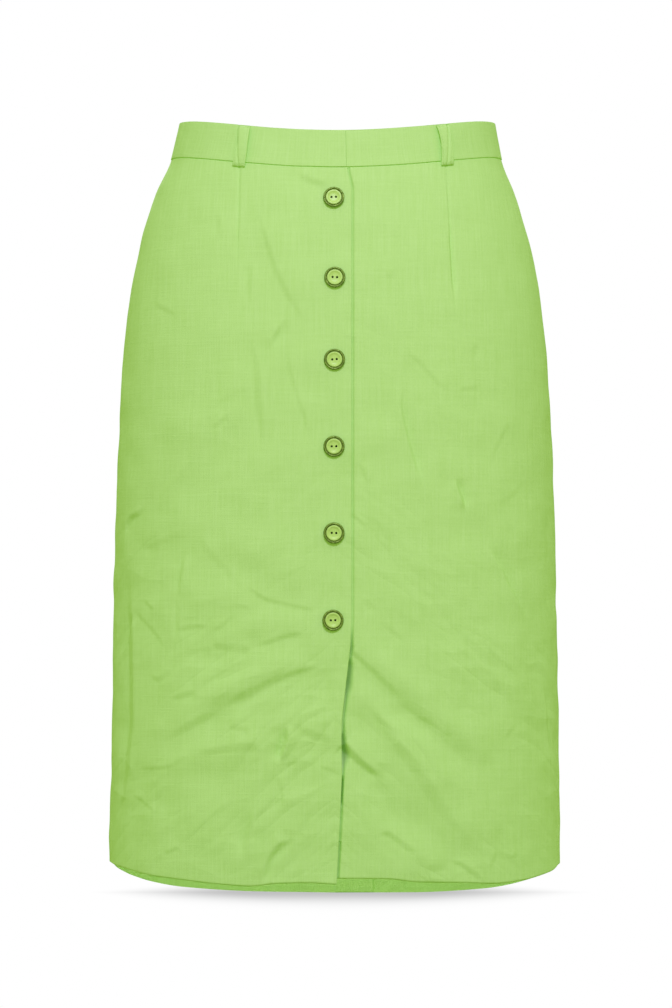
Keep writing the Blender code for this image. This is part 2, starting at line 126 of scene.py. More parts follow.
# Where the skirt is no longer buttoned, the under layer falls back beside the free edge.
Gap = namedtuple("Gap", "drop width depth")
GAPS = rows_of(Gap, (
    (0.000, 0.0026, 0.0000), (0.436, 0.0026, 0.0000), (0.450, 0.0034, 0.0022),
    (0.457, 0.0044, 0.0034), (0.463, 0.0040, 0.0020), (0.472, 0.0062, 0.0068),
    (0.486, 0.0068, 0.0074), (0.497, 0.0058, 0.0036), (0.510, 0.0056, 0.0024),
    (0.524, 0.0050, 0.0022), (0.534, 0.0056, 0.0066), (0.545, 0.0084, 0.0088),
    (0.555, 0.0060, 0.0040), (0.562, 0.0026, 0.0016), (0.570, 0.0022, 0.0066),
    (0.583, 0.0020, 0.0066), (0.590, 0.0024, 0.0012), (0.660, 0.0024, 0.0010),
))

# Folds of the solids: a ridge on each fold's upper side and a hollow on its lower side. The cloth
# takes a share of their rise.
FOLD_SHARE = 0.8
FOLD_END = 0.12
FOLD_FADE = 0.7
SIDE_CALM = 0.04
SIDE_REACH = 0.22
Fold = namedtuple("Fold", "x_from drop_from x_to drop_to bow half_width rise")
FRONT_FOLDS = (
    Fold(-0.020, 0.468, -0.140, 0.531, -0.004, 0.0100, 0.0024),
    Fold(-0.016, 0.425, -0.108, 0.373, -0.009, 0.0110, 0.0009),
    Fold(-0.026, 0.438, -0.118, 0.458, -0.003, 0.0100, 0.0012),
    Fold(-0.050, 0.541, -0.165, 0.560, 0.004, 0.0110, 0.0016),
    Fold(-0.072, 0.237, -0.165, 0.345, 0.006, 0.0180, 0.0014),
    Fold(-0.166, 0.372, -0.130, 0.362, 0.000, 0.0110, 0.0014),
    Fold(-0.060, 0.090, -0.018, 0.182, 0.010, 0.0140, 0.0012),
    Fold(0.015, 0.457, 0.118, 0.547, 0.002, 0.0100, 0.0026),
    Fold(0.014, 0.488, 0.115, 0.618, 0.004, 0.0140, 0.0022),
    Fold(0.010, 0.538, 0.098, 0.619, 0.002, 0.0110, 0.0022),
    Fold(0.107, 0.313, 0.158, 0.425, 0.000, 0.0140, 0.0014),
    Fold(0.070, 0.214, 0.098, 0.237, 0.000, 0.0120, 0.0010),
)
BACK_FOLDS = (
    Fold(0.006, 0.475, 0.120, 0.560, 0.004, 0.0150, 0.0022),
    Fold(0.012, 0.540, 0.105, 0.625, 0.002, 0.0140, 0.0016),
    Fold(-0.008, 0.455, -0.128, 0.520, -0.004, 0.0150, 0.0020),
    Fold(-0.030, 0.552, -0.150, 0.590, 0.004, 0.0150, 0.0014),
    Fold(-0.060, 0.260, -0.150, 0.350, 0.006, 0.0190, 0.0014),
    Fold(0.075, 0.300, 0.150, 0.400, 0.000, 0.0170, 0.0012),
)

# Creases, in millimetres. Each runs through points (round the skirt from centre front, positive
# to the wearer's left, and drop). Seen from outside and along the line, the cloth falls by
# `height` from its left side to its right. `band` is the steep strip's half-width at the first
# and the last point, `reach` how far beside it the cloth takes to come back, `fade` the share of
# the length over which each end dies out, and `valley` the share of the crease that is a trough.
Crease = namedtuple("Crease", "height band_from band_to reach fade_from fade_to valley points")
FRONT_CREASES = rows_of(Crease, (
    (-0.96, 1.4, 4.3, 9, 0.22, 0.24, 0, ((-13, 467), (-19, 472), (-30, 475), (-55, 485),
     (-84, 499), (-95, 506))),
    (-0.91, 2.8, 3.1, 8, 0.22, 0.4, 0, ((-98, 508), (-132, 524), (-151, 535))),
    (-0.74, 1.6, 1.6, 8, 0.22, 0.3, 0, ((-26, 443), (-39, 445), (-70, 455))),
    (-0.73, 3.7, 2.6, 7, 0.22, 0.3, 0, ((-71, 456), (-90, 455), (-109, 453))),
    (-0.50, 2.3, 2.3, 7, 0.3, 0.4, 0, ((-104, 454), (-123, 459), (-131, 461))),
    (-0.52, 1.3, 1.7, 6, 0.25, 0.3, 0, ((-73, 464), (-100, 478), (-117, 488))),
    (-0.75, 2.3, 2.3, 6, 0.3, 0.3, 0, ((-119, 490), (-127, 494), (-146, 499))),
    (0.16, 2.1, 2.1, 5, 0.3, 0.3, 0, ((-127, 492), (-119, 497), (-108, 499), (-96, 497))),
    (-0.77, 3.7, 3.1, 7, 0.22, 0.3, 0, ((-58, 542), (-81, 539), (-122, 546))),
    (-0.40, 1.4, 1.4, 6, 0.22, 0.24, 0, ((-125, 546), (-135, 550), (-143, 555), (-157, 557), (-182, 558))),
    (3.51, 2.3, 2.6, 5, 0.35, 0.35, 0, ((-40, 520), (-41, 531), (-48, 553))),
    (0.45, 1.3, 1.7, 5, 0.35, 0.4, 0, ((-52, 558), (-47, 570), (-44, 582), (-43, 600))),
    (-1.78, 2.6, 2.3, 6, 0.22, 0.35, 0, ((-37, 616), (-52, 629), (-60, 648), (-60, 656))),
    (0.12, 1.4, 1.4, 5, 0.22, 0.4, 0, ((-40, 615), (-32, 620), (-25, 627))),
    (0.75, 3.1, 3.8, 8, 0.3, 0.25, 0, ((-33, 519), (-23, 527), (1, 536))),
    (0.38, 1.4, 1.7, 6, 0.4, 0.24, 0, ((-16, 554), (0, 560), (6, 564))),
    (0.58, 2.4, 2.8, 6, 0.3, 0.3, 0, ((-92, 521), (-70, 526))),
    (-0.60, 2.8, 3.1, 7, 0.3, 0.4, 0, ((-86, 582), (-111, 605), (-119, 619))),
    (1.86, 2.8, 3.3, 7, 0.35, 0.4, 0, ((-68, 591), (-73, 606), (-76, 621), (-77, 636))),
    (0.30, 1.4, 1.6, 5, 0.22, 0.3, 0, ((-189, 580), (-177, 585), (-159, 596))),
    (0.56, 1.6, 1.6, 5, 0.3, 0.3, 0, ((-152, 630), (-134, 624))),
    (0.73, 2.1, 2.1, 5, 0.3, 0.3, 0, ((-167, 478), (-159, 482), (-150, 478), (-143, 472))),
    (0.38, 1.6, 1.7, 6, 0.22, 0.3, 0, ((-187, 422), (-160, 444), (-155, 451), (-149, 456))),
    (1.18, 1.5, 1.5, 6, 0.22, 0.3, 0, ((-188, 426), (-194, 440), (-213, 462))),
    (0.60, 1.7, 1.7, 5, 0.3, 0.3, 0, ((-175, 415), (-163, 422))),
    (-1.44, 1.7, 1.7, 5, 0.3, 0.3, 0, ((-176, 332), (-183, 340), (-196, 344), (-204, 352), (-208, 358))),
    (2.27, 6.1, 6.1, 9, 0.35, 0.35, 0, ((-198, 380), (-195, 414), (-192, 500), (-194, 530),
     (-198, 560), (-207, 591), (-217, 617))),
    (0.37, 1.7, 3.1, 7, 0.22, 0.35, 0, ((-182, 369), (-166, 368), (-145, 361), (-123, 360))),
    (0.34, 3.0, 3.3, 7, 0.25, 0.25, 0, ((-119, 358), (-112, 370), (-106, 377), (-92, 391),
     (-84, 401), (-76, 405))),
    (0.59, 1.4, 1.6, 7, 0.22, 0.25, 0, ((-76, 403), (-61, 413), (-53, 416), (-15, 424))),
    (1.32, 1.7, 1.6, 6, 0.35, 0.35, 0, ((-130, 373), (-133, 383), (-138, 413))),
    (0.99, 2.6, 2.6, 5, 0.35, 0.35, 1, ((-138, 413), (-140, 442), (-139, 454))),
    (0.75, 1.9, 1.9, 6, 0.22, 0.3, 0, ((-139, 441), (-128, 438), (-109, 436))),
    (0.62, 1.4, 1.4, 5, 0.3, 0.3, 0, ((-106, 442), (-97, 437), (-86, 427))),
    (0.19, 1.7, 1.7, 6, 0.3, 0.3, 0, ((-131, 421), (-97, 415), (-91, 415))),
    (0.29, 1.6, 1.6, 6, 0.3, 0.3, 0, ((-88, 418), (-70, 423))),
    (0.52, 1.9, 2.3, 7, 0.3, 0.3, 0, ((-113, 266), (-121, 277), (-136, 302), (-151, 317),
     (-155, 327), (-163, 336))),
    (-0.31, 2.6, 2.6, 7, 0.3, 0.3, 0, ((-69, 235), (-81, 238), (-90, 242), (-102, 249), (-111, 258))),
    (-0.59, 1.6, 1.6, 5, 0.3, 0.3, 0, ((-92, 258), (-104, 269))),
    (1.03, 2.6, 2.6, 8, 0.3, 0.24, 0, ((-34, 52), (-15, 60), (-5, 64))),
    (0.73, 2.1, 2.4, 8, 0.35, 0.35, 0, ((-67, 81), (-53, 128), (-46, 144), (-39, 158),
     (-30, 172), (-21, 183))),
    (0.79, 1.3, 2.8, 5, 0.35, 0.35, 0, ((-70, 128), (-73, 143), (-74, 163))),
    (0.52, 1.6, 1.6, 6, 0.25, 0.3, 0, ((-170, 161), (-159, 164), (-140, 172))),
    (-1.41, 1.7, 1.9, 6, 0.35, 0.35, 0, ((-44, 177), (-48, 187), (-52, 193), (-54, 203))),
    (0.60, 1.5, 1.5, 6, 0.35, 0.35, 0, ((-42, 193), (-37, 224), (-25, 263), (-22, 275), (-21, 287))),
    (1.25, 3.1, 3.7, 7, 0.35, 0.35, 0, ((-72, 191), (-68, 210), (-65, 245), (-63, 276), (-65, 290))),
    (0.56, 2.3, 2.3, 6, 0.35, 0.35, 0, ((-104, 84), (-101, 94), (-103, 106))),
    (0.71, 1.6, 2.6, 8, 0.04, 0.24, 0, ((14, 458), (48, 490), (56, 500))),
    (0.34, 1.4, 3.8, 8, 0.2, 0.35, 0, ((54, 500), (71, 514), (81, 520), (120, 555))),
    (1.14, 4.0, 5.4, 9, 0.22, 0.3, 0, ((26, 500), (69, 559), (92, 593), (116, 621))),
    (1.71, 3.5, 2.3, 7, 0.03, 0.25, 0, ((6, 537), (21, 551), (38, 565))),
    (0.52, 3.8, 3.8, 8, 0.22, 0.35, 0, ((34, 565), (41, 575), (46, 586), (55, 597), (64, 604))),
    (0.98, 1.9, 3.0, 7, 0.22, 0.3, 0, ((37, 614), (45, 612), (61, 624), (72, 629))),
    (0.58, 4.0, 3.5, 7, 0.3, 0.3, 0, ((78, 643), (86, 640), (96, 641))),
    (0.83, 1.7, 2.1, 7, 0.25, 0.24, 0, ((99, 638), (108, 638), (132, 655))),
    (-0.46, 1.4, 1.4, 5, 0.35, 0.35, 0, ((141, 626), (139, 634), (134, 643))),
    (0.43, 1.7, 1.7, 5, 0.3, 0.3, 0, ((157, 633), (164, 630))),
    (0.51, 1.3, 1.3, 6, 0.22, 0.3, 0, ((126, 445), (138, 459), (157, 474), (167, 479))),
    (0.42, 1.9, 1.9, 6, 0.25, 0.3, 0, ((40, 434), (53, 445), (59, 450))),
    (0.47, 2.3, 2.3, 6, 0.3, 0.3, 0, ((22, 416), (27, 417), (34, 423))),
    (0.31, 1.9, 1.9, 6, 0.3, 0.3, 0, ((148, 534), (164, 518))),
    (-0.23, 1.4, 1.4, 5, 0.22, 0.24, 0, ((202, 401), (205, 414), (216, 440), (218, 457))),
    (-0.44, 3.7, 3.7, 7, 0.35, 0.35, 0, ((194, 333), (204, 354), (210, 371), (201, 392))),
    (-0.88, 1.4, 1.6, 6, 0.35, 0.35, 0, ((197, 470), (209, 532), (220, 578))),
    (0.58, 1.9, 1.7, 6, 0.22, 0.3, 0, ((60, 204), (75, 216), (86, 229), (100, 239))),
    (0.48, 1.5, 1.5, 5, 0.25, 0.3, 0, ((106, 236), (127, 234))),
    (-1.82, 1.4, 1.6, 6, 0.35, 0.35, 0, ((60, 228), (57, 254), (69, 302), (73, 313), (75, 327))),
    (-2.14, 1.9, 1.7, 6, 0.35, 0.35, 0, ((103, 311), (108, 324), (114, 339))),
    (-1.57, 1.5, 1.6, 6, 0.22, 0.4, 0, ((133, 369), (149, 389), (154, 399), (170, 423), (179, 433))),
    (-0.36, 1.5, 1.5, 5, 0.25, 0.4, 0, ((157, 261), (142, 287), (137, 302))),
    (-0.28, 1.9, 1.9, 6, 0.25, 0.3, 0, ((173, 312), (166, 320), (156, 327), (143, 332))),
    (0.66, 1.2, 1.2, 5, 0.05, 0.4, 0, ((14, 343), (22, 349), (27, 355))),
    (0.31, 1.7, 1.7, 5, 0.3, 0.3, 0, ((34, 346), (40, 355), (44, 366))),
    (0.83, 1.9, 1.9, 6, 0.35, 0.35, 0, ((21, 299), (25, 308), (27, 317))),
    (0.50, 2.1, 2.1, 6, 0.3, 0.3, 0, ((41, 140), (52, 138))),
    (1.03, 2.6, 2.6, 5, 0.35, 0.35, 1, ((124, 196), (124, 211))),
    (2.10, 3.0, 3.0, 5, 0.25, 0.25, 1, ((101, 92), (103, 128), (105, 159))),
))

# The back's creases are some of the front's, moved round: which one, its shift round the skirt
# and down it in millimetres, and its share of the height.
Moved = namedtuple("Moved", "front round_shift drop_shift share")
BACK_CREASES = rows_of(Moved, (
    (0, 470, -14, 0.9), (1, 465, 4, 0.8), (5, 455, 22, 0.9), (2, 440, -40, 1.0),
    (8, 488, -20, 1.0), (9, 500, 24, 0.8), (12, 470, 6, 1.0), (29, 440, -26, 1.0),
    (28, 452, -60, 1.0), (36, 500, -30, 1.0), (44, 470, -24, 1.0), (40, 486, 30, 0.8),
    (30, 462, 30, 1.0), (27, 480, -70, 1.0), (32, 492, -110, 0.9), (47, -505, 12, 0.9),
    (48, -500, 2, 0.9), (49, -498, 30, 0.8), (50, -505, 10, 0.9), (52, -505, 14, 1.0),
    (64, -500, 46, 1.0), (66, -496, -22, 1.0), (68, -490, 26, 1.0), (69, -500, 18, 0.8),
    (57, -470, -90, 1.0), (58, -480, -150, 1.0),
))
# How closely a crease's line is followed, how far from it the crease still counts (in reaches),
# how soft its fold lines are, and how narrow its band is at its ends.
CREASE_STEP = 0.004
CREASE_MARGIN = 3.5
CREASE_SOFT = 0.3
LENS_END = 0.3

# The waist is a little slacker on one side than on the other.
Ease = namedtuple("Ease", "drop right left")
WAIST_EASE = (
    Ease(-0.010, -0.0040, 0.0009), Ease(0.000, -0.0036, 0.0009), Ease(0.031, -0.0012, 0.0010),
    Ease(0.060, 0.0002, 0.0008), Ease(0.100, 0.0000, 0.0002), Ease(0.200, 0.0000, 0.0000),
)

# The waist darts: a fine sewn line down from the waist seam, gone a little below its end. The
# back's lines are as fine.
Dart = namedtuple("Dart", "x_top x_end drop_end")
DARTS = (Dart(-0.0817, -0.0832, 0.123), Dart(0.0951, 0.1016, 0.161))
BACK_DARTS = (Dart(-0.070, -0.080, 0.150), Dart(0.070, 0.080, 0.150))
DART_DEPTH = 0.0010
DART_HALF = 0.0008
DART_LAST = 1.3
DART_GONE = 1.25
DART_FADE = 0.5

# The cloth's own small unevenness.
WAVE_SEED = 8
WAVE_COUNT = 26
WAVE_RISE = 0.00016
WAVE_SHORTEST = 0.018
WAVE_LONGEST = 0.075
WAVE_AT_TOP = 0.45
WAVE_FULL_DROP = 0.45

# A belt loop's run: the share of its length from the top, and how far its inner face stands out.
LoopPoint = namedtuple("LoopPoint", "share stand")
LOOP_RUN = (
    LoopPoint(0.00, 0.0012), LoopPoint(0.08, 0.0027), LoopPoint(0.28, 0.0035),
    LoopPoint(0.52, 0.0037), LoopPoint(0.76, 0.0033), LoopPoint(0.92, 0.0020),
    LoopPoint(1.00, 0.0006),
)
Loop = namedtuple("Loop", "name facing x_top x_bottom bow twist")
LOOPS = (
    Loop("belt_loop_front_right", "front", -0.0777, -0.0791, 0.0012, 0.03),
    Loop("belt_loop_front_left", "front", 0.0898, 0.0922, 0.0006, -0.05),
    Loop("belt_loop_back_right", "back", -0.0720, -0.0735, 0.0006, 0.12),
    Loop("belt_loop_back_left", "back", 0.0720, 0.0735, -0.0008, -0.10),
)

Button = namedtuple("Button", "drop x tilt stand turn")
BUTTONS = (
    Button(0.0728, -0.0010, 0, 0.0004, 2), Button(0.1416, -0.0001, 0, 0.0004, -3),
    Button(0.2115, -0.0004, 0, 0.0004, 4), Button(0.2852, -0.0008, 0, 0.0004, 0),
    Button(0.3585, -0.0008, 0, 0.0004, -2), Button(0.4322, -0.0017, 3, 0.0008, 2),
)


def smooth_through(xs, ys, x):
    """A smooth curve through the points of a table, with no overshoot between them."""
    xs = np.asarray(xs, float)
    ys = np.asarray(ys, float)
    step = np.diff(xs)
    rise = np.diff(ys) / step
    slope = np.zeros_like(ys)
    same_way = rise[:-1] * rise[1:] > 0
    mean = 2 * rise[:-1] * rise[1:] / np.where(same_way, rise[:-1] + rise[1:], 1.0)
    slope[1:-1] = np.where(same_way, mean, 0.0)
    slope[0] = rise[0]
    slope[-1] = rise[-1]
    x = np.clip(x, xs[0], xs[-1])
    i = np.clip(np.searchsorted(xs, x) - 1, 0, len(step) - 1)
    t = (x - xs[i]) / step[i]
    start = (1 + 2 * t) * (1 - t) ** 2 * ys[i] + t * (1 - t) ** 2 * step[i] * slope[i]
    end = t * t * (3 - 2 * t) * ys[i + 1] + t * t * (t - 1) * step[i] * slope[i + 1]
    return start + end


def column(table, name):
    """One named column of a table of rows."""
    return [getattr(row, name) for row in table]


def read_off(table, name, place, by="drop"):
    """A column of a table at a place in its `by` column, smooth between the rows."""
    return smooth_through(column(table, by), column(table, name), place)


def level(name, drop):
    """A size of the form at a drop below the waist opening."""
    return read_off(LEVELS, name, drop)


def edge(name, drop):
    """Where the front edge lies, or how it stands, at a drop."""
    return np.interp(drop, column(EDGE, "drop"), column(EDGE, name))


def soft_step(t):
    """0 up to t = 0, 1 from t = 1, and smooth between."""
    t = np.clip(t, 0.0, 1.0)
    return t * t * (3 - 2 * t)


def run_along(steps):
    """The distance from a line's start, before and after each of its steps."""
    return np.concatenate([[0], np.cumsum(steps)])


def fold_rise(folds, x, drop):
    """How far the folds lift the cloth, ridge above each fold's line and hollow below it."""
    total = np.zeros(np.broadcast(x, drop).shape)
    for fold in folds:
        run_x = fold.x_to - fold.x_from
        run_drop = fold.drop_to - fold.drop_from
        length = math.hypot(run_x, run_drop)
        side = math.copysign(1, run_x)
        along = ((x - fold.x_from) * run_x + (drop - fold.drop_from) * run_drop) / length
        below = ((drop - fold.drop_from) * run_x - (x - fold.x_from) * run_drop) / length * side
        share = np.clip(along / length, 0.0, 1.0)
        past_end = (along - share * length) / fold.half_width
        off = (below - fold.bow * 4 * share * (1 - share)) / fold.half_width
        swell = np.sin(math.pi * (FOLD_END + (1 - 2 * FOLD_END) * share)) ** FOLD_FADE
        fade = np.exp(-past_end ** 2) * swell
        total += -fold.rise * off * np.exp(0.5 - off ** 2 / 2) * fade
    return total


def base_point(angle, drop):
    """A point of the smooth form, with no folds, at an angle from centre front."""
    angle, drop = np.broadcast_arrays(angle, drop)
    across = np.sin(angle)
    ahead = np.cos(angle)
    ease = np.where(across < 0, read_off(WAIST_EASE, "right", drop),
                    read_off(WAIST_EASE, "left", drop))
    half_width = level("half_width", drop) + ease
    depth = np.where(ahead > 0, level("front_depth", drop), level("back_depth", drop))
    power = level("squareness", drop)
    size = (np.abs(across) ** power + np.abs(ahead) ** power) ** (1 / power)
    return np.stack([half_width * across / size, -depth * ahead / size, -drop], axis=-1)


def base_normal(angle, drop):
    """The outward direction of the smooth form."""
    round_it = base_point(angle + SLOPE_STEP, drop) - base_point(angle - SLOPE_STEP, drop)
    down = base_point(angle, drop + SLOPE_STEP) - base_point(angle, drop - SLOPE_STEP)
    normal = np.cross(down, round_it)
    return normal / np.linalg.norm(normal, axis=-1, keepdims=True)


def angle_at(x, drop, facing="front"):
    """The angle at which the form reaches a distance from the centre line."""
    power = level("squareness", drop)
    share = np.clip(np.abs(x) / level("half_width", drop), 0.0, MOST_ACROSS) ** power
    angle = np.arctan((share / (1 - share)) ** (1 / power)) * np.sign(x)
    return angle if facing == "front" else np.sign(x) * math.pi - angle


def waist_drop(angle):
    """How far the band's top edge lies below the waist opening's highest points."""
    ahead = np.cos(angle)
    front = FRONT_DIP * np.clip(ahead, 0, None) ** DIP_POWER
    return front + BACK_DIP * np.clip(-ahead, 0, None) ** DIP_POWER


# Distances round the form, from centre front, on a fine net of angles and drops.
NET_ANGLES = np.linspace(0.0, math.pi, 241)
NET_DROPS = np.linspace(-0.010, 0.690, 71)


def round_net():
    """How far round the form each angle of the net lies, at each of its drops."""
    points = base_point(NET_ANGLES[None, :], NET_DROPS[:, None])
    steps = np.linalg.norm(np.diff(points, axis=1), axis=-1)
    return np.concatenate([np.zeros((len(NET_DROPS), 1)), np.cumsum(steps, axis=1)], axis=1)


ROUND_NET = round_net()


def round_at(angle, drop):
    """Distance round the cloth from centre front, positive towards the wearer's left."""
    angle, drop = np.broadcast_arrays(angle, drop)
    a = np.abs(angle) / (NET_ANGLES[1] - NET_ANGLES[0])
    d = (drop - NET_DROPS[0]) / (NET_DROPS[1] - NET_DROPS[0])
    i = np.clip(d.astype(int), 0, len(NET_DROPS) - 2)
    j = np.clip(a.astype(int), 0, len(NET_ANGLES) - 2)
    s = np.clip(d - i, 0, 1)
    t = a - j
    upper = ROUND_NET[i, j] * (1 - t) + ROUND_NET[i, j + 1] * t
    lower = ROUND_NET[i + 1, j] * (1 - t) + ROUND_NET[i + 1, j + 1] * t
    return (upper * (1 - s) + lower * s) * np.sign(angle)


def smooth_path(points):
    """Closely spaced points of a smooth curve through a crease's points, in metres."""
    knots = np.array(points, float) * MM
    ends = np.concatenate([[2 * knots[0] - knots[1]], knots, [2 * knots[-1] - knots[-2]]])
    path = [knots[0]]
    for k in range(1, len(ends) - 2):
        before, start, stop, after = ends[k - 1:k + 3]
        count = max(1, int(np.linalg.norm(stop - start) / CREASE_STEP))
        for t in np.linspace(0, 1, count + 1)[1:]:
            path.append(0.5 * (2 * start + (stop - before) * t
                               + (2 * before - 5 * start + 4 * stop - after) * t ** 2
                               + (3 * start - before - 3 * stop + after) * t ** 3))
    return np.array(path)


def folded(off):
    """A slope that runs straight between two fold lines at -1 and 1."""
    return (np.hypot(off + 1, CREASE_SOFT) - np.hypot(off - 1, CREASE_SOFT)) / 2


def pinched(off):
    """A narrow pinched line between -1 and 1, deepest at 0."""
    both = np.hypot(off + 1, CREASE_SOFT) + np.hypot(off - 1, CREASE_SOFT)
    return both / 2 - np.hypot(off, CREASE_SOFT)


def crease_rise(creases, where, drop):
    """How far the creases lift the cloth, at distances round it and drops."""
    total = np.zeros(where.shape)
    for crease in creases:
        path = smooth_path(crease.points)
        margin = CREASE_MARGIN * crease.reach * MM
        low = path.min(axis=0) - margin
        high = path.max(axis=0) + margin
        near = (where > low[0]) & (where < high[0]) & (drop > low[1]) & (drop < high[1])
        if not near.any():
            continue
        u = where[near]
        v = drop[near]
        steps = np.diff(path, axis=0)
        lengths = np.linalg.norm(steps, axis=1)
        starts = run_along(lengths)
        nearest = np.full(u.shape, np.inf)
        off = np.zeros(u.shape)
        share = np.zeros(u.shape)
        for k, (step, length) in enumerate(zip(steps, lengths)):
            du = u - path[k, 0]
            dv = v - path[k, 1]
            t = np.clip((du * step[0] + dv * step[1]) / length ** 2, 0, 1)
            far = np.hypot(du - t * step[0], dv - t * step[1])
            closer = far < nearest
            nearest[closer] = far[closer]
            side = np.sign(step[0] * dv - step[1] * du)
            off[closer] = (far * side)[closer]
            share[closer] = ((starts[k] + t * length) / starts[-1])[closer]
        strength = soft_step(share / crease.fade_from) * soft_step((1 - share) / crease.fade_to)
        band = (crease.band_from + (crease.band_to - crease.band_from) * share) * MM
        band = band * (LENS_END + (1 - LENS_END) * strength)
        slope = folded(off / band) * np.exp(-np.clip(np.abs(off) - band, 0, None)
                                            / (crease.reach * MM))
        shape = (1 - crease.valley) * slope + crease.valley * pinched(off / band)
        total[near] -= crease.height * MM * strength * shape
    return total


def moved_behind(rows):
    """Creases for the back, made from the front's."""
    made = []
    for row in rows:
        crease = FRONT_CREASES[row.front]
        points = [(row.round_shift + u, v + row.drop_shift) for u, v in crease.points]
        made.append(crease._replace(height=crease.height * row.share, points=points))
    return made


ALL_CREASES = FRONT_CREASES + tuple(moved_behind(BACK_CREASES))


def dart_rise(darts, x, drop, angle):
    """The fine sunk line of each dart, dying out towards its end."""
    total = np.zeros(np.broadcast(x, drop).shape)
    top = waist_drop(angle) + BAND_HEIGHT
    for dart in darts:
        share = np.clip((drop - top) / (dart.drop_end - top), 0, DART_LAST)
        line = dart.x_top + (dart.x_end - dart.x_top) * share
        off = (x - line) / DART_HALF
        total -= DART_DEPTH * np.exp(-off ** 2) * soft_step((DART_GONE - share) / DART_FADE)
    return total


def wave_table():
    """Directions, lengths and starts of the small waves, always the same."""
    chance = np.random.RandomState(WAVE_SEED)
    lengths = chance.uniform(WAVE_SHORTEST, WAVE_LONGEST, WAVE_COUNT)
    turns = chance.uniform(0, math.pi, WAVE_COUNT)
    starts = chance.uniform(0, 2 * math.pi, WAVE_COUNT)
    return lengths, turns, starts


WAVES = wave_table()


def wave_rise(where, drop):
    """A gentle unevenness all over, a little stronger towards the hem."""
    total = np.zeros(where.shape)
    for length, turn, start in zip(*WAVES):
        run = where * math.cos(turn) + drop * math.sin(turn)
        total += np.sin(2 * math.pi * run / length + start) * length / WAVE_LONGEST
    lower = soft_step(drop / WAVE_FULL_DROP)
    return total * WAVE_RISE * (WAVE_AT_TOP + (1 - WAVE_AT_TOP) * lower)


def cloth_point(angle, drop, out=0.0, creased=True):
    """A point of the cloth's outer face, moved out by `out`."""
    angle, drop, out = np.broadcast_arrays(angle, drop, out)
    base = base_point(angle, drop)
    x = base[..., 0]
    front = np.cos(angle) > 0
    calm = soft_step(np.maximum(UNDERLAP_X - x, x - CALM_TO_X) / CALM_REACH)
    rise = np.where(front, fold_rise(FRONT_FOLDS, x, drop) * calm,
                    fold_rise(BACK_FOLDS, x, drop))
    off_side = soft_step((np.abs(np.cos(angle)) - SIDE_CALM) / SIDE_REACH)
    rise = rise * off_side * FOLD_SHARE
    if creased:
        where = round_at(angle, drop)
        rise = rise + crease_rise(ALL_CREASES, where, drop) + wave_rise(where, drop)
        rise = rise + np.where(front, dart_rise(DARTS, x, drop, angle),
                               dart_rise(BACK_DARTS, x, drop, angle))
    return base + base_normal(angle, drop) * (rise + out)[..., None]


# Nets of the cloth shells. Distances are from a shell's border; the rows and columns there are
# close together so that the border can roll inwards.
BORDER_STEPS = np.array((0.0, 0.00015, 0.0004, 0.0008, 0.0013, 0.0020))
FIRST_EVEN = 0.0012
HEM_EDGE_STEP = 0.0003
EDGE_STEPS = np.array((0.0003, 0.0007, 0.0011, 0.0015, 0.0019, 0.0024, 0.0030, 0.0037, 0.0045,
                       0.0054))
UNDER_COLUMNS = 10
FRONT_ROWS = 371
FRONT_COLUMNS = 203
BACK_ROWS = 321
BACK_COLUMNS = 145
ROWS_CLOSER = 0.28
NET_ROUNDS = 4
SIDE_GIRTH_RATE = 0.127
EVEN_ROUND = 0.20
SPREAD_SAMPLES = 401
DART_CLOSER = 1.3
DART_REACH = 0.03
SEAM_ROLL = 0.0009
WAIST_ROLL = 0.0007
HEM_ROLL = 0.0016
EDGE_ROLL = 0.0006
MOST_ROLLED = 0.85
CLOSED_SEAM = 0.00003
UNDER_FLAT = 0.0008
UNDER_STEP = 0.0022
UNDER_EXTRA = 0.0005
# How deep the cloth must lie, and over what further depth, before its painted glow is fully dimmed:
# painted shade where it lies sunk.
SUNK_FROM = 0.0015
SUNK_SPAN = 0.0040
PRESS_DEPTH = 0.00022
PRESS_FROM_EDGE = 0.0036
PRESS_HALF = 0.0006
SHARP_ANGLE = math.radians(50)
EVERY_OTHER = (slice(None, None, 2), slice(None, None, 2))


def roll(distance, radius):
    """How far a border's cloth has turned inwards at a distance from the border."""
    near = np.clip(radius - distance, 0, radius)
    return radius - np.sqrt(radius ** 2 - near ** 2)


def wall_at(share):
    """The cloth's thickness at a share of a panel's length: thicker in the turned hem."""
    return np.where(share > 1 - HEM_DEPTH / LENGTH, HEM_CLOTH, CLOTH)


def row_shares(count):
    """Shares of a shell's length for its rows, closer in the lower part and at the borders."""
    close = BORDER_STEPS / LENGTH
    start = close[-1] + FIRST_EVEN / LENGTH
    t = np.linspace(0, 1, count - 2 * len(close))
    t = t + ROWS_CLOSER * np.sin(math.pi * t) / math.pi
    even = start + (1 - 2 * start) * t
    shares = np.concatenate([close, even, (1 - close)[::-1]])
    hem_edge = 1 - HEM_DEPTH / LENGTH
    k = int(np.searchsorted(shares, hem_edge)) // 2 * 2
    shares[k] = hem_edge - HEM_EDGE_STEP / LENGTH
    shares[k + 1] = hem_edge
    shares[k + 2] = hem_edge + HEM_EDGE_STEP / LENGTH
    return shares


def shell_net(shell):
    """Angle, drop and share of the length at each crossing of a shell's rows and columns."""
    share = row_shares(shell.rows)[:, None]
    drop = BAND_HEIGHT + LENGTH * share
    for _ in range(NET_ROUNDS):
        angle = shell.angles_of(drop)
        top = waist_drop(angle) + BAND_HEIGHT + CLOSED_SEAM
        hem = read_off(shell.hem_table, "drop", np.degrees(np.abs(angle)), by="angle")
        drop = top + (hem - top) * share
    return angle, drop, share


def column_drop(drop, columns):
    """Drops spread over a net's columns."""
    return np.broadcast_to(drop, (drop.shape[0], columns)) if drop.shape[1] == 1 else drop


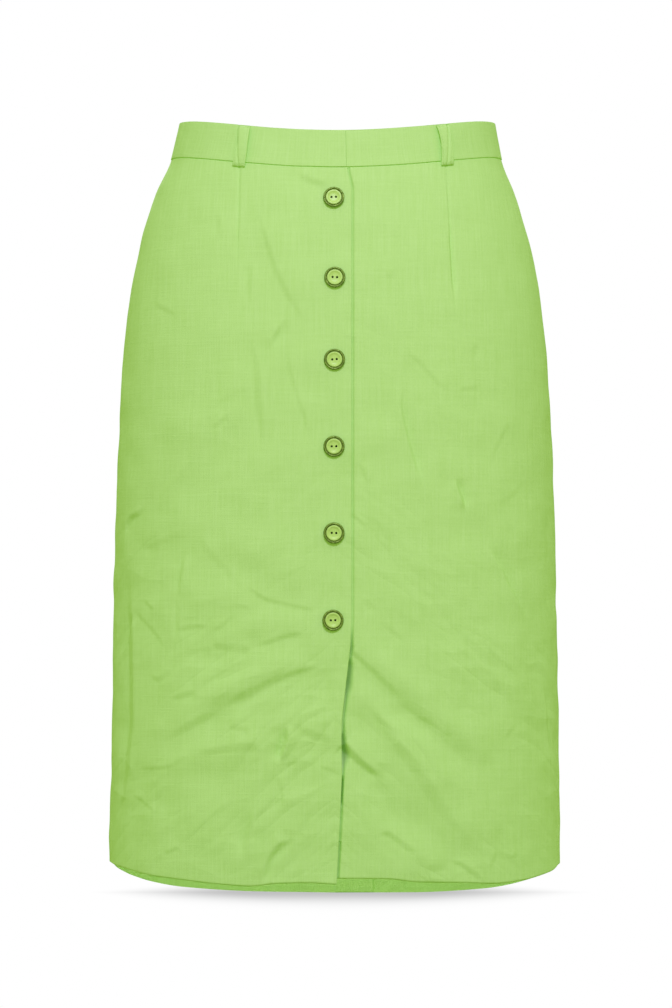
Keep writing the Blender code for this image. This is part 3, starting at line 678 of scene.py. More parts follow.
def spread(count, dart, seam_angle, edge_angle, turned=False):
    """Shares for a front's columns, from its side seam: closer at the seam and along its dart."""
    t = np.linspace(0, 1, SPREAD_SAMPLES)
    dart_angle = float(angle_at(dart.x_end, dart.drop_end))
    at_dart = (dart_angle - seam_angle) / (edge_angle - seam_angle)
    close = 1 - EVEN_ROUND * np.cos(math.pi * t)
    close = close + DART_CLOSER * np.exp(-((t - at_dart) / DART_REACH) ** 2)
    run = run_along((close[1:] + close[:-1]) / 2)
    if turned:
        t, run = 1 - t[::-1], run[-1] - run[::-1]
    return np.interp(np.linspace(0, run[-1], count + 2)[1:-1], run, t)


def by_side_seam(side, towards, drop):
    """Angles of the columns next to a side seam, from the seam on, in each row."""
    angles = side * math.pi / 2 + towards * (CLOSED_SEAM + BORDER_STEPS) / SIDE_GIRTH_RATE
    return np.broadcast_to(angles, (len(drop), len(BORDER_STEPS)))


def between(first, last, shares):
    """Columns at shares of the way from one group of columns to the next."""
    return first[:, -1:] + (last[:, :1] - first[:, -1:]) * shares


def right_front_angles(drop):
    """Columns of the right front, from the side seam to the free edge."""
    drop = column_drop(drop, FRONT_COLUMNS)
    count = len(BORDER_STEPS)
    seam = by_side_seam(-1, 1, drop)
    last = drop[:, -count:]
    free_edge = angle_at(edge("x", last) - BORDER_STEPS[::-1], last)
    t = spread(FRONT_COLUMNS - 2 * count, DARTS[0], seam[0, -1], free_edge[0, 0])
    return np.concatenate([seam, between(seam, free_edge, t), free_edge], axis=1)


def left_front_angles(drop):
    """Columns of the left front, from its end under the right front to the side seam."""
    drop = column_drop(drop, FRONT_COLUMNS)
    edge_x = edge("x", drop)
    first = slice(0, UNDER_COLUMNS)
    zone = slice(UNDER_COLUMNS, UNDER_COLUMNS + len(EDGE_STEPS))
    share = np.linspace(0, 1, UNDER_COLUMNS)
    under = angle_at(UNDERLAP_X + (edge_x[:, first] - UNDERLAP_X) * share, drop[:, first])
    beside = angle_at(edge_x[:, zone] + EDGE_STEPS, drop[:, zone])
    seam = by_side_seam(1, -1, drop)[:, ::-1]
    count = FRONT_COLUMNS - UNDER_COLUMNS - len(EDGE_STEPS) - len(BORDER_STEPS)
    t = spread(count, DARTS[1], seam[0, 0], beside[0, -1], turned=True)
    return np.concatenate([under, beside, between(beside, seam, t), seam], axis=1)


def left_back_angles(drop):
    """Columns of the left back, from the side seam to centre back."""
    drop = column_drop(drop, BACK_COLUMNS)
    count = len(BORDER_STEPS)
    side = by_side_seam(1, 1, drop)
    centre = math.pi - (CLOSED_SEAM + BORDER_STEPS[::-1]) / level("half_width", drop[:, -count:])
    t = np.linspace(0, 1, BACK_COLUMNS - 2 * count + 2)
    t = (t + EVEN_ROUND * np.sin(math.pi * t) / math.pi)[1:-1]
    return np.concatenate([side, between(side, centre, t), centre], axis=1)


def right_back_angles(drop):
    """Columns of the right back, the left back's mirror image."""
    return -left_back_angles(drop)[:, ::-1]


def rolled_in(radii, angle, drop, share):
    """How far a net's cloth turns inwards at its top, its hem, its first and its last column."""
    where = round_at(angle, drop)
    from_top = share * LENGTH * np.ones_like(angle)
    from_hem = (1 - share) * LENGTH * np.ones_like(angle)
    distances = (from_top, from_hem, where - where[:, :1], where[:, -1:] - where)
    return sum(roll(distance, radius) for distance, radius in zip(distances, radii))


def right_front_out(angle, drop, _share):
    """The right front stands out along its free edge, with a pressed line inside that edge."""
    from_edge = np.clip(edge("x", drop) - base_point(angle, drop)[..., 0], 0, None)
    press = PRESS_DEPTH * np.exp(-((from_edge - PRESS_FROM_EDGE) / PRESS_HALF) ** 2)
    return edge("lift", drop) * np.exp(-from_edge / LIFT_REACH) - press


def left_front_out(angle, drop, share):
    """The left front steps in under the right front, and falls back along the open vent."""
    past_edge = base_point(angle, drop)[..., 0] - edge("x", drop)
    under = 1 - soft_step((past_edge - UNDER_FLAT) / UNDER_STEP)
    fall = read_off(GAPS, "depth", drop)
    fall = fall * (1 - soft_step(past_edge / read_off(GAPS, "width", drop)))
    return -under * (wall_at(share) + SEAM_GAP + UNDER_EXTRA) - fall


def back_out(angle, _drop, _share):
    """A back panel lies on the form."""
    return np.zeros_like(angle)


def wall_faces(rows, columns):
    """Faces of a closed wall: a fine outer net, a net of every other point inside, and a rim."""
    count = rows * columns
    i, j = np.meshgrid(np.arange(rows - 1), np.arange(columns - 1), indexing="ij")
    a = (i * columns + j).ravel()
    outer = np.stack([a, a + columns, a + columns + 1, a + 1], axis=1)
    half_rows, half_columns = (rows + 1) // 2, (columns + 1) // 2
    i, j = np.meshgrid(np.arange(half_rows - 1), np.arange(half_columns - 1), indexing="ij")
    b = (count + i * half_columns + j).ravel()
    inner = np.stack([b, b + 1, b + half_columns + 1, b + half_columns], axis=1)
    faces = outer.tolist() + inner.tolist()

    def inside(row, col):
        return count + row // 2 * half_columns + col // 2

    border = [(0, c) for c in range(columns)]
    border += [(r, columns - 1) for r in range(1, rows)]
    border += [(rows - 1, c) for c in range(columns - 2, -1, -1)]
    border += [(r, 0) for r in range(rows - 2, -1, -1)]
    for k in range(0, len(border) - 1, 2):
        first, middle, last = border[k:k + 3]
        a, m, b = (row * columns + col for row, col in (first, middle, last))
        faces.append((a, m, inside(*first)))
        faces.append((m, b, inside(*last), inside(*first)))
    return faces


def put_in_scene(name, data):
    """A new object with its data, at the origin."""
    made = bpy.data.objects.new(name, data)
    bpy.context.scene.collection.objects.link(made)
    return made


def ride_along(name, mesh, node=None):
    """A mesh as a piece of the part, in the place of one of its nodes or beside them."""
    piece = put_in_scene(name, mesh)
    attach(piece, "root")
    if node is not None:
        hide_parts(node)
    return piece


def new_piece(name, points, faces, finish, where=None, node=None):
    """A finished piece: smooth, with its UV map in metres of cloth."""
    mesh = bpy.data.meshes.new(name)
    mesh.from_pydata(np.asarray(points).tolist(), [], faces)
    if where is not None:
        layer = mesh.uv_layers.new(name="cloth")
        index = np.empty(len(mesh.loops), dtype=np.int32)
        mesh.loops.foreach_get("vertex_index", index)
        layer.data.foreach_set("uv", np.asarray(where, np.float32)[index].ravel())
    mesh.shade_smooth()
    mesh.set_sharp_from_angle(angle=SHARP_ANGLE)
    mesh.materials.append(finish)
    mesh.validate()
    return ride_along(name, mesh, node)


def new_cloth(node, points, faces, finish, where):
    """A piece of cloth in the place of a node."""
    return new_piece("cloth_" + node, points.reshape(-1, 3), faces, finish,
                     where.reshape(-1, 2), node)


def add_wall(node, outer, inner, angle, drop, finish):
    """A closed wall of cloth: its outer net, and every other point of its inner one."""
    where = np.stack([round_at(angle, drop), -drop], axis=-1)
    points = np.concatenate([outer.reshape(-1, 3), inner[EVERY_OTHER].reshape(-1, 3)])
    where = np.concatenate([where.reshape(-1, 2), where[EVERY_OTHER].reshape(-1, 2)])
    return new_cloth(node, points, wall_faces(*angle.shape), finish, where)


BACK_ROLLS = (WAIST_ROLL, HEM_ROLL, SEAM_ROLL, SEAM_ROLL)
Shell = namedtuple("Shell", "node angles_of hem_table out_of rolls rows flat")
SHELLS = (
    Shell("front_right", right_front_angles, RIGHT_HEM, right_front_out,
          (WAIST_ROLL, HEM_ROLL, SEAM_ROLL, EDGE_ROLL), FRONT_ROWS, (0.275, 0.625)),
    Shell("front_left", left_front_angles, LEFT_HEM, left_front_out,
          (WAIST_ROLL, HEM_ROLL, 0.0, SEAM_ROLL), FRONT_ROWS, (0.295, 0.625)),
    Shell("back_left", left_back_angles, LEFT_HEM, back_out, BACK_ROLLS, BACK_ROWS,
          (0.262, 0.645)),
    Shell("back_right", right_back_angles, RIGHT_HEM, back_out, BACK_ROLLS, BACK_ROWS,
          (0.262, 0.645)),
)


def add_shell(shell, finish):
    """A creased cloth panel over its solid."""
    angle, drop, share = shell_net(shell)
    shift = shell.out_of(angle, drop, share)
    wall = wall_at(share) * np.ones_like(angle)
    rolled = np.minimum(rolled_in(shell.rolls, angle, drop, share), wall * MOST_ROLLED)
    outer = cloth_point(angle, drop, shift - rolled)
    inner = outer + base_normal(angle, drop) * (rolled - wall)[..., None]
    piece = add_wall(shell.node, outer, inner, angle, drop, finish)
    # How far the cloth lies sunk, kept as an attribute that dims its painted glow: painted shade where the
    # left front lies under the free edge, deepest in the open vent.
    sunk = np.clip((-shift - SUNK_FROM) / SUNK_SPAN, 0, 1)
    sunk = np.concatenate([sunk.ravel(), sunk[EVERY_OTHER].ravel()])
    layer = piece.data.attributes.new("sunk", "FLOAT", "POINT")
    layer.data.foreach_set("value", sunk.astype(np.float32))
    return piece


VENT_ROWS = 91
VENT_COLUMNS = 33
VENT_ABOVE_HEM = 0.004
VENT_START = 0.0003


def add_vent_underlap(finish):
    """The vent's underlap inside the left back's hem."""
    share = (1 - VENT_LENGTH / LENGTH * np.linspace(1, VENT_ABOVE_HEM, VENT_ROWS))[:, None]
    top = BACK_DIP + BAND_HEIGHT
    drop = top + (LEFT_HEM[-1].drop - top) * share
    x = VENT_WIDTH * np.linspace(1, 0, VENT_COLUMNS)[None, :] + VENT_START
    angle = angle_at(x, drop, "back")
    drop = drop * np.ones_like(angle)
    out = -(HEM_CLOTH + SEAM_GAP) * np.ones_like(angle)
    outer = cloth_point(angle, drop, out)
    inner = cloth_point(angle, drop, out - CLOTH)
    return add_wall("back_vent_underlap", outer, inner, angle, drop, finish)


def rounded_section(height, thickness, corner, face_count, corner_count):
    """Points (down, out) once round a rounded strip's section: down its outer face, up inside."""
    turns = np.linspace(0, math.pi / 2, corner_count)
    inset = thickness - corner
    down = np.linspace(corner, height - corner, face_count)
    up = np.linspace(height - corner, corner, face_count // 2)
    section = [(d, 0.0) for d in down]
    section += [(height - corner + corner * math.sin(a), corner * (math.cos(a) - 1))
                for a in turns[1:]]
    section += [(height - corner + corner * math.cos(a), -inset - corner * math.sin(a))
                for a in turns]
    section += [(d, -thickness) for d in up[1:]]
    section += [(corner - corner * math.sin(a), -inset - corner * math.cos(a))
                for a in turns[1:]]
    section += [(corner - corner * math.cos(a), corner * (math.sin(a) - 1)) for a in turns[:-1]]
    return np.array(section)


def section_run(section):
    """The distance round a section at each of its points."""
    return run_along(np.hypot(*np.diff(section, axis=0).T))


def tube_faces(rings, points_each):
    """Faces between rings of points, with both ends closed."""
    faces = []
    for i in range(rings - 1):
        for j in range(points_each):
            k = (j + 1) % points_each
            faces.append((i * points_each + j, i * points_each + k,
                          (i + 1) * points_each + k, (i + 1) * points_each + j))
    faces.append(tuple(reversed(range(points_each))))
    last = (rings - 1) * points_each
    faces.append(tuple(range(last, last + points_each)))
    return faces


# The waistband. Its lower end lies under its upper end; the step between them is at that end.
BAND_COLUMNS = 560
BAND_UNDER_COLUMNS = 12
BAND_STEP_COLUMNS = 8
BAND_FACE_POINTS = 16
BAND_CORNER_POINTS = 5
BAND_CORNER = 0.0005
BAND_STEP_START = 0.00004
BAND_STEP = 0.0002
BAND_STEP_PAST = 0.0011
BAND_OUT_AGAIN = 0.0012
BAND_TOP_RISE = 0.0012
BAND_RISE_BEHIND = 0.2
BAND_EASE = 0.0002
BAND_CROWN = 0.00025
BAND_END_ROLL = 0.0001
BAND_MAP_TOP = 0.7


def add_waistband(finish):
    """The band, once round from its end under the right front's end to that upper end."""
    front_drop = FRONT_DIP + BAND_HEIGHT / 2
    under_end = float(angle_at(UNDERLAP_X, front_drop))
    step = float(angle_at(BAND_END_X + BAND_STEP_START, front_drop))
    out_again = float(angle_at(BAND_END_X + BAND_OUT_AGAIN, front_drop))
    last = 2 * math.pi + angle_at(BAND_END_X - BORDER_STEPS[::-1], front_drop)
    angle = np.concatenate([np.linspace(under_end, step, BAND_UNDER_COLUMNS, endpoint=False),
                            np.linspace(step, out_again, BAND_STEP_COLUMNS, endpoint=False),
                            np.linspace(out_again, last[0], BAND_COLUMNS)[:-1], last])
    section = rounded_section(BAND_HEIGHT - BAND_EASE, BAND_CLOTH, BAND_CORNER,
                              BAND_FACE_POINTS, BAND_CORNER_POINTS)
    down, depth = section[None, :, 0], section[None, :, 1]
    wrapped = angle[:, None] * np.ones(len(section))[None, :]
    short = np.where(wrapped > math.pi, wrapped - 2 * math.pi, wrapped)
    ahead = np.clip(np.cos(short), 0, 1)
    rise = BAND_TOP_RISE * (BAND_RISE_BEHIND + (1 - BAND_RISE_BEHIND) * ahead)
    drop = waist_drop(short) + down
    drop = drop - rise * (1 - down / BAND_HEIGHT)
    past_end = base_point(short, front_drop)[..., 0] - BAND_END_X
    past_step = (wrapped > math.pi / 2) | (past_end > BAND_STEP_PAST)
    under = 1 - soft_step((past_end - BAND_STEP_START) / BAND_STEP)
    sunk = np.where(past_step, 0.0, under) * (BAND_CLOTH + SEAM_GAP)
    crown = BAND_CROWN * np.sin(math.pi * down / BAND_HEIGHT)
    girth = round_at(short, np.full_like(short, front_drop))
    whole = 2 * float(round_at(np.array(math.pi), np.array(front_drop)))
    girth = np.where(wrapped > math.pi, girth + whole, girth)
    to_end = np.minimum(girth - girth[:1], girth[-1:] - girth)
    near_end = roll(to_end, BAND_END_ROLL) * (depth > -BAND_CLOTH / 2)
    points = cloth_point(short, drop, BAND_PROUD - sunk + crown + depth - near_end)
    across = section_run(section)[None, :] * np.ones_like(girth)
    where = np.stack([girth, BAND_MAP_TOP - across], axis=-1)
    return new_cloth("waistband", points, tube_faces(*wrapped.shape), finish, where)


# The belt loops.
LOOP_LENGTH = BAND_HEIGHT + LOOP_BELOW_SEAM
LOOP_RINGS = 61
LOOP_FACE_POINTS = 19
LOOP_CORNER_POINTS = 4
LOOP_CORNER = 0.00055
LOOP_END_ROLL = 0.0006
LOOP_CUP = 0.00025
LOOP_MAP_START = 1.3
GROOVE_DEPTH = 0.00022
GROOVE_HALF = 0.00035
STITCH_INSET = 0.0016


def loop_line(loop, share, across):
    """Angle and drop of a point of a belt loop."""
    bow = loop.bow * 4 * share * (1 - share)
    side = -1 if loop.facing == "back" else 1
    centre_x = loop.x_top + (loop.x_bottom - loop.x_top) * share
    angle = angle_at(centre_x + bow + across * side, BAND_HEIGHT * share, loop.facing)
    centre = angle_at(centre_x, BAND_HEIGHT * share, loop.facing)
    drop = waist_drop(centre) + SEAM_GAP + LOOP_LENGTH * share
    return angle, drop + waist_drop(angle) - waist_drop(centre)


def loop_surface(loop, share, across, out):
    """A point of a belt loop at its outer face, `out` above it."""
    angle, drop = loop_line(loop, share, across)
    stand = read_off(LOOP_RUN, "stand", share, by="share")
    twist = loop.twist * across * np.sin(math.pi * np.clip(share, 0, 1))
    cupped = -LOOP_CUP * (2 * across / LOOP_SPAN) ** 2
    return cloth_point(angle, drop, stand + LOOP_CLOTH + twist + cupped + out)


def loop_width(share):
    """How wide a belt loop is, as a share of its flat width: uneven, as pressed by hand."""
    return 1 - 0.06 * np.sin(math.pi * share) + 0.04 * np.cos(7 * share)


def add_belt_loop(loop, finish):
    """A folded strip over the band, edge stitched, sewn down at its top and its turned end."""
    section = rounded_section(LOOP_SPAN, LOOP_CLOTH, LOOP_CORNER, LOOP_FACE_POINTS,
                              LOOP_CORNER_POINTS)
    depth = section[None, :, 1]
    share = np.linspace(0, 1, LOOP_RINGS)[:, None]
    thin = roll(np.minimum(share, 1 - share) * LOOP_LENGTH, LOOP_END_ROLL)
    across = section[None, :, 0] - LOOP_SPAN / 2
    share_all = share * np.ones_like(across)
    from_stitches = np.abs(across) - (LOOP_SPAN / 2 - STITCH_INSET)
    groove = GROOVE_DEPTH * np.exp(-(from_stitches / GROOVE_HALF) ** 2)
    out = depth - np.where(depth > -LOOP_CLOTH / 2, thin + groove, -thin)
    points = loop_surface(loop, share_all, across * loop_width(share), out)
    around = section_run(section)[None, :] * np.ones_like(share_all)
    where = np.stack([around + LOOP_MAP_START, -share_all * LOOP_LENGTH], axis=-1)
    faces = [tuple(reversed(face)) for face in tube_faces(LOOP_RINGS, len(section))]
    return new_cloth(loop.name, points, faces, finish, where)


# Turned profiles of a button, from its axis out, in metres: a dished face with a lip, and a
# rounded rim with a ledge.
Turn = namedtuple("Turn", "radius height")
FACE_TOP = rows_of(Turn, (
    (0.0000, 0.00196), (0.0020, 0.00198), (0.0034, 0.00210), (0.0044, 0.00236), (0.0050, 0.00268),
    (0.0055, 0.00284), (0.0060, 0.00282), (0.0064, 0.00262), (0.00668, 0.00215),
))
RIM_PROFILE = rows_of(Turn, (
    (0.00480, 0.00000), (0.00600, 0.00000), (0.00790, 0.00004), (0.00845, 0.00022),
    (0.00888, 0.00070), (0.00902, 0.00130), (0.00896, 0.00190), (0.00876, 0.00244),
    (0.00848, 0.00284), (0.00812, 0.00304), (0.00776, 0.00300), (0.00738, 0.00276),
    (0.00708, 0.00240), (0.00692, 0.00200), (0.00690, 0.00115), (0.00480, 0.00115),
))
RIM_SEGMENTS = 72
FACE_SEGMENTS = 96
FACE_RINGS = 54
FACE_BASE = Turn(0.0063, 0.00118)
HOLE_RADIUS = 0.00092
HOLE_SPACING = 0.0038
HOLE_DEPTH = 0.00074
HOLE_WALL = 0.00016
HOLE_STARTS = 0.12


def button_place(button):
    """Where a button sits: its axis is the cloth's outward direction, its holes side by side."""
    angle = angle_at(button.x, button.drop)
    normal = Vector(base_normal(angle, button.drop))
    centre = Vector(cloth_point(angle, button.drop, button.stand, creased=False))
    across = Vector((1, 0, 0))
    across = (across - normal * across.dot(normal)).normalized()
    turn = Matrix((across, normal.cross(across), normal)).transposed().to_4x4()
    tilt = Matrix.Rotation(math.radians(button.tilt), 4, "Y")
    spin = Matrix.Rotation(math.radians(button.turn), 4, "Z")
    return np.array(Matrix.Translation(centre) @ turn @ tilt @ spin)


def rim_shape():
    """The rim's points and faces, turned round +Z."""
    points = []
    for turn in RIM_PROFILE:
        for j in range(RIM_SEGMENTS):
            around = 2 * math.pi * j / RIM_SEGMENTS
            points.append((turn.radius * math.cos(around), turn.radius * math.sin(around),
                           turn.height))
    faces = []
    for k in range(len(RIM_PROFILE)):
        low = k * RIM_SEGMENTS
        high = (k + 1) % len(RIM_PROFILE) * RIM_SEGMENTS
        for j in range(RIM_SEGMENTS):
            after = (j + 1) % RIM_SEGMENTS
            faces.append((low + j, low + after, high + after, high + j))
    return np.array(points), faces


def face_shape():
    """The face's points and faces, with two deep holes, and how deep in a hole each point is."""
    radii = np.linspace(0, FACE_TOP[-1].radius, FACE_RINGS + 1)[1:]
    around = np.linspace(0, 2 * math.pi, FACE_SEGMENTS, endpoint=False)
    r, a = np.meshgrid(radii, around, indexing="ij")
    x, y = r * np.cos(a), r * np.sin(a)
    near = np.minimum(np.hypot(x - HOLE_SPACING / 2, y), np.hypot(x + HOLE_SPACING / 2, y))
    sunk = 1 - soft_step((near - HOLE_RADIUS) / HOLE_WALL + 0.5)
    height = read_off(FACE_TOP, "height", r, by="radius") - sunk * HOLE_DEPTH
    points = [(0, 0, FACE_TOP[0].height)]
    points += np.stack([x, y, height], axis=-1).reshape(-1, 3).tolist()
    hollow = [0.0] + sunk.ravel().tolist()
    faces = [(0, 1 + j, 1 + (j + 1) % FACE_SEGMENTS) for j in range(FACE_SEGMENTS)]
    for i in range(FACE_RINGS - 1):
        for j in range(FACE_SEGMENTS):
            k = (j + 1) % FACE_SEGMENTS
            low = 1 + i * FACE_SEGMENTS
            high = low + FACE_SEGMENTS
            faces.append((low + j, high + j, high + k, low + k))
    outer = 1 + (FACE_RINGS - 1) * FACE_SEGMENTS
    base = len(points)
    points += [(FACE_BASE.radius * math.cos(t), FACE_BASE.radius * math.sin(t), FACE_BASE.height)
               for t in around]
    hollow += [0.0] * FACE_SEGMENTS
    for j in range(FACE_SEGMENTS):
        k = (j + 1) % FACE_SEGMENTS
        faces.append((outer + j, base + j, base + k, outer + k))
    faces.append(tuple(base + j for j in reversed(range(FACE_SEGMENTS))))
    return np.array(points), faces, np.array(hollow)


def add_buttons(rim_finish, face_finish, hole_shade_finish):
    """Every button as a rim and a face in the solids' places."""
    rim_points, rim_faces = rim_shape()
    face_points, face_faces, hollow = face_shape()
    for number, button in enumerate(BUTTONS, start=1):
        place = button_place(button)
        turned = place[:3, :3].T
        new_piece(f"rim_{number}", rim_points @ turned + place[:3, 3], rim_faces, rim_finish,
                  node=f"button_rim_{number}")
        face = new_piece(f"face_{number}", face_points @ turned + place[:3, 3], face_faces,
                         face_finish, node=f"button_face_{number}")
        # The holes' deep faces take the near-black painted shade.
        face.data.materials.append(hole_shade_finish)
        for polygon in face.data.polygons:
            if hollow[list(polygon.vertices)].min() > HOLE_STARTS:
                polygon.material_index = 1


# Finishes. A noise is its stretch along each axis, its scale, its detail and, where that isn't
# 0.5, its roughness. A range is what is read and, where that isn't 0 to 1, what is given. A bump
# is its distance and its strength.
CLOTH_LIME = (0.378, 0.530, 0.213)
CLOTH_LIME_PALE = (0.424, 0.574, 0.259)
SHEEN_LIME = (0.75, 1.0, 0.5)
THREAD_LIME = (0.37, 0.50, 0.20)
BRASS_DARK = (0.095, 0.165, 0.012)
BRASS_LIGHT = (0.28, 0.42, 0.07)
RESIN_LIME = (0.42, 0.64, 0.14)
RESIN_PALE = (0.52, 0.73, 0.21)
# Near-black painted shade inside the thread holes.
HOLE_PAINTED_SHADE = (0.010, 0.018, 0.004)
# Painted glow: the cloth and its thread give off a lime light of their own. It stands in for light that
# comes through thin cloth and lifts their shade toward green. Less glow where the cloth lies sunk paints
# shade there.
PAINTED_GLOW_LIME = (0.36, 1.0, 0.02)
PAINTED_GLOW = 0.17
PAINTED_GLOW_SUNK = 0.055
EVEN = (1.0, 1.0, 1.0)
WARP_SLUB = ((1.0, 0.035, 1.0), 900.0, 1.0)
WEFT_SLUB = ((0.045, 1.0, 1.0), 820.0, 1.0)
WARP_WIDE = ((1.0, 0.06, 1.0), 260.0, 2.0)
WEFT_WIDE = ((0.07, 1.0, 1.0), 240.0, 2.0)
CLOTH_PATCHES = (EVEN, 26.0, 3.0)
SLUB_RANGE = (0.3, 0.7)
WARP_RANGE = (0.3, 0.7, 0.0, 1.8)
THICK_RANGE = (0.5, 0.8)
SLUB_TONE = 0.30
WIDE_TONE = 0.16
PATCH_TONE = 0.12
TONE_RANGE = (0.20, 1.20)
YARN_PITCH = 0.00042
WEAVE_BUMP = (0.00005, 0.5)
SLUB_BUMP = (0.00012, 0.55)
WIDE_BUMP = (0.0003, 0.25)
# Small pulls in the cloth: direction, length and breadth. They come and go in patches, and are
# fullest in the lower part.
CRUMPLE_RUNS = ((-0.62, 0.085, 0.020), (-0.95, 0.110, 0.026), (-0.15, 0.060, 0.030))
CRUMPLE_NOISE = (EVEN, 1.0, 1.5, 0.4)
CRUMPLE_PATCHES = (EVEN, 11.0, 1.0)
CRUMPLE_HERE = (0.40, 0.62, 0.15, 1.0)
CRUMPLE_LOWER = (-0.30, -0.50, 0.25, 1.0)
CRUMPLE_BUMP = (0.0046, 1.0)
THREAD_FIBRE = (EVEN, 4200.0, 2.0)
THREAD_BUMP = (0.00006, 0.5)
BRASS_SPECKS = (EVEN, 1500.0, 3.0, 0.65)
BRASS_CLOUD = (EVEN, 420.0, 2.0)
BRASS_CLOUD_SHARE = 0.5
BRASS_WORN = (0.66, 0.92)
BRASS_ROUGHNESS = (0.0, 1.0, 0.55, 0.32)
BRASS_BUMP = (0.00012, 0.6)
RESIN_PEARL = ((1.0, 1.0, 1.6), 330.0, 3.0, 0.6)
RESIN_SHINE = (0.38, 0.66, 0.0, 0.55)
# How the painted sheen at the resin face's edge spreads and how strong it is.
RESIN_FACING = 0.35
RESIN_EDGE_SHEEN = 0.6


class Nodes:
    """A node tree, with short ways to add, feed and join its nodes."""

    def __init__(self, tree):
        self.tree = tree

    def give(self, socket, value):
        """A socket's value: another node's output, a colour without its alpha, or any other."""
        if isinstance(value, bpy.types.NodeSocket):
            self.tree.links.new(value, socket)
        elif socket.type == "RGBA":
            socket.default_value = (*value, 1.0)
        else:
            socket.default_value = value

    def add(self, kind, feeds=None, **values):
        """A node of a kind, with its properties set and its inputs fed."""
        node = self.tree.nodes.new(kind)
        for name, value in values.items():
            setattr(node, name, value)
        for name, value in (feeds or {}).items():
            self.give(node.inputs[name], value)
        return node

    def shade(self, **values):
        """Values given to the surface shader's own sockets."""
        shader = self.tree.nodes["Principled BSDF"]
        for name, value in values.items():
            self.give(shader.inputs[name.replace("_", " ")], value)

    def place(self):
        """The object's own coordinates."""
        return self.add("ShaderNodeTexCoord").outputs["Object"]

    def noise(self, source, stretch, scale, detail, roughness=0.5):
        """Noise on coordinates stretched along each axis."""
        mapping = self.add("ShaderNodeMapping", {"Scale": stretch, "Vector": source})
        noise = self.add("ShaderNodeTexNoise", {
            "Scale": scale, "Detail": detail, "Roughness": roughness,
            "Vector": mapping.outputs["Vector"]})
        return noise.outputs["Fac"]

    def crumple(self, source, turn, long_way, short_way):
        """Sharp low folds that run one way: the distance of a stretched noise from its middle."""
        mapping = self.add("ShaderNodeMapping", {
            "Rotation": (0.0, 0.0, turn), "Scale": (long_way, short_way, 1.0),
            "Vector": source}, vector_type="TEXTURE")
        noise = self.noise(mapping.outputs["Vector"], *CRUMPLE_NOISE)
        return self.math("ABSOLUTE", self.math("SUBTRACT", noise, 0.5))

    def math(self, operation, *values):
        """A maths node of sockets or numbers."""
        return self.add("ShaderNodeMath", dict(enumerate(values)), operation=operation).outputs[0]

    def ramp(self, source, low, high, low_value=0.0, high_value=1.0, shape="LINEAR"):
        """A value spread from one range to another, held at its ends."""
        node = self.add("ShaderNodeMapRange", {
            "Value": source, "From Min": low, "From Max": high, "To Min": low_value,
            "To Max": high_value}, interpolation_type=shape)
        return node.outputs["Result"]

    def blend(self, share, first, second):
        """A colour between two colours or sockets."""
        node = self.add("ShaderNodeMix", {0: share, 6: first, 7: second}, data_type="RGBA")
        return node.outputs[2]

    def bump(self, height, distance, strength, below=None):
        """A bump, on top of another if there is one."""
        node = self.add("ShaderNodeBump", {
            "Distance": distance, "Strength": strength, "Height": height})
        if below is not None:
            self.give(node.inputs["Normal"], below)
        return node.outputs["Normal"]


def new_finish(name):
    """A new material and its node tree."""
    material = bpy.data.materials.new(name)
    material.use_nodes = True
    return material, Nodes(material.node_tree)


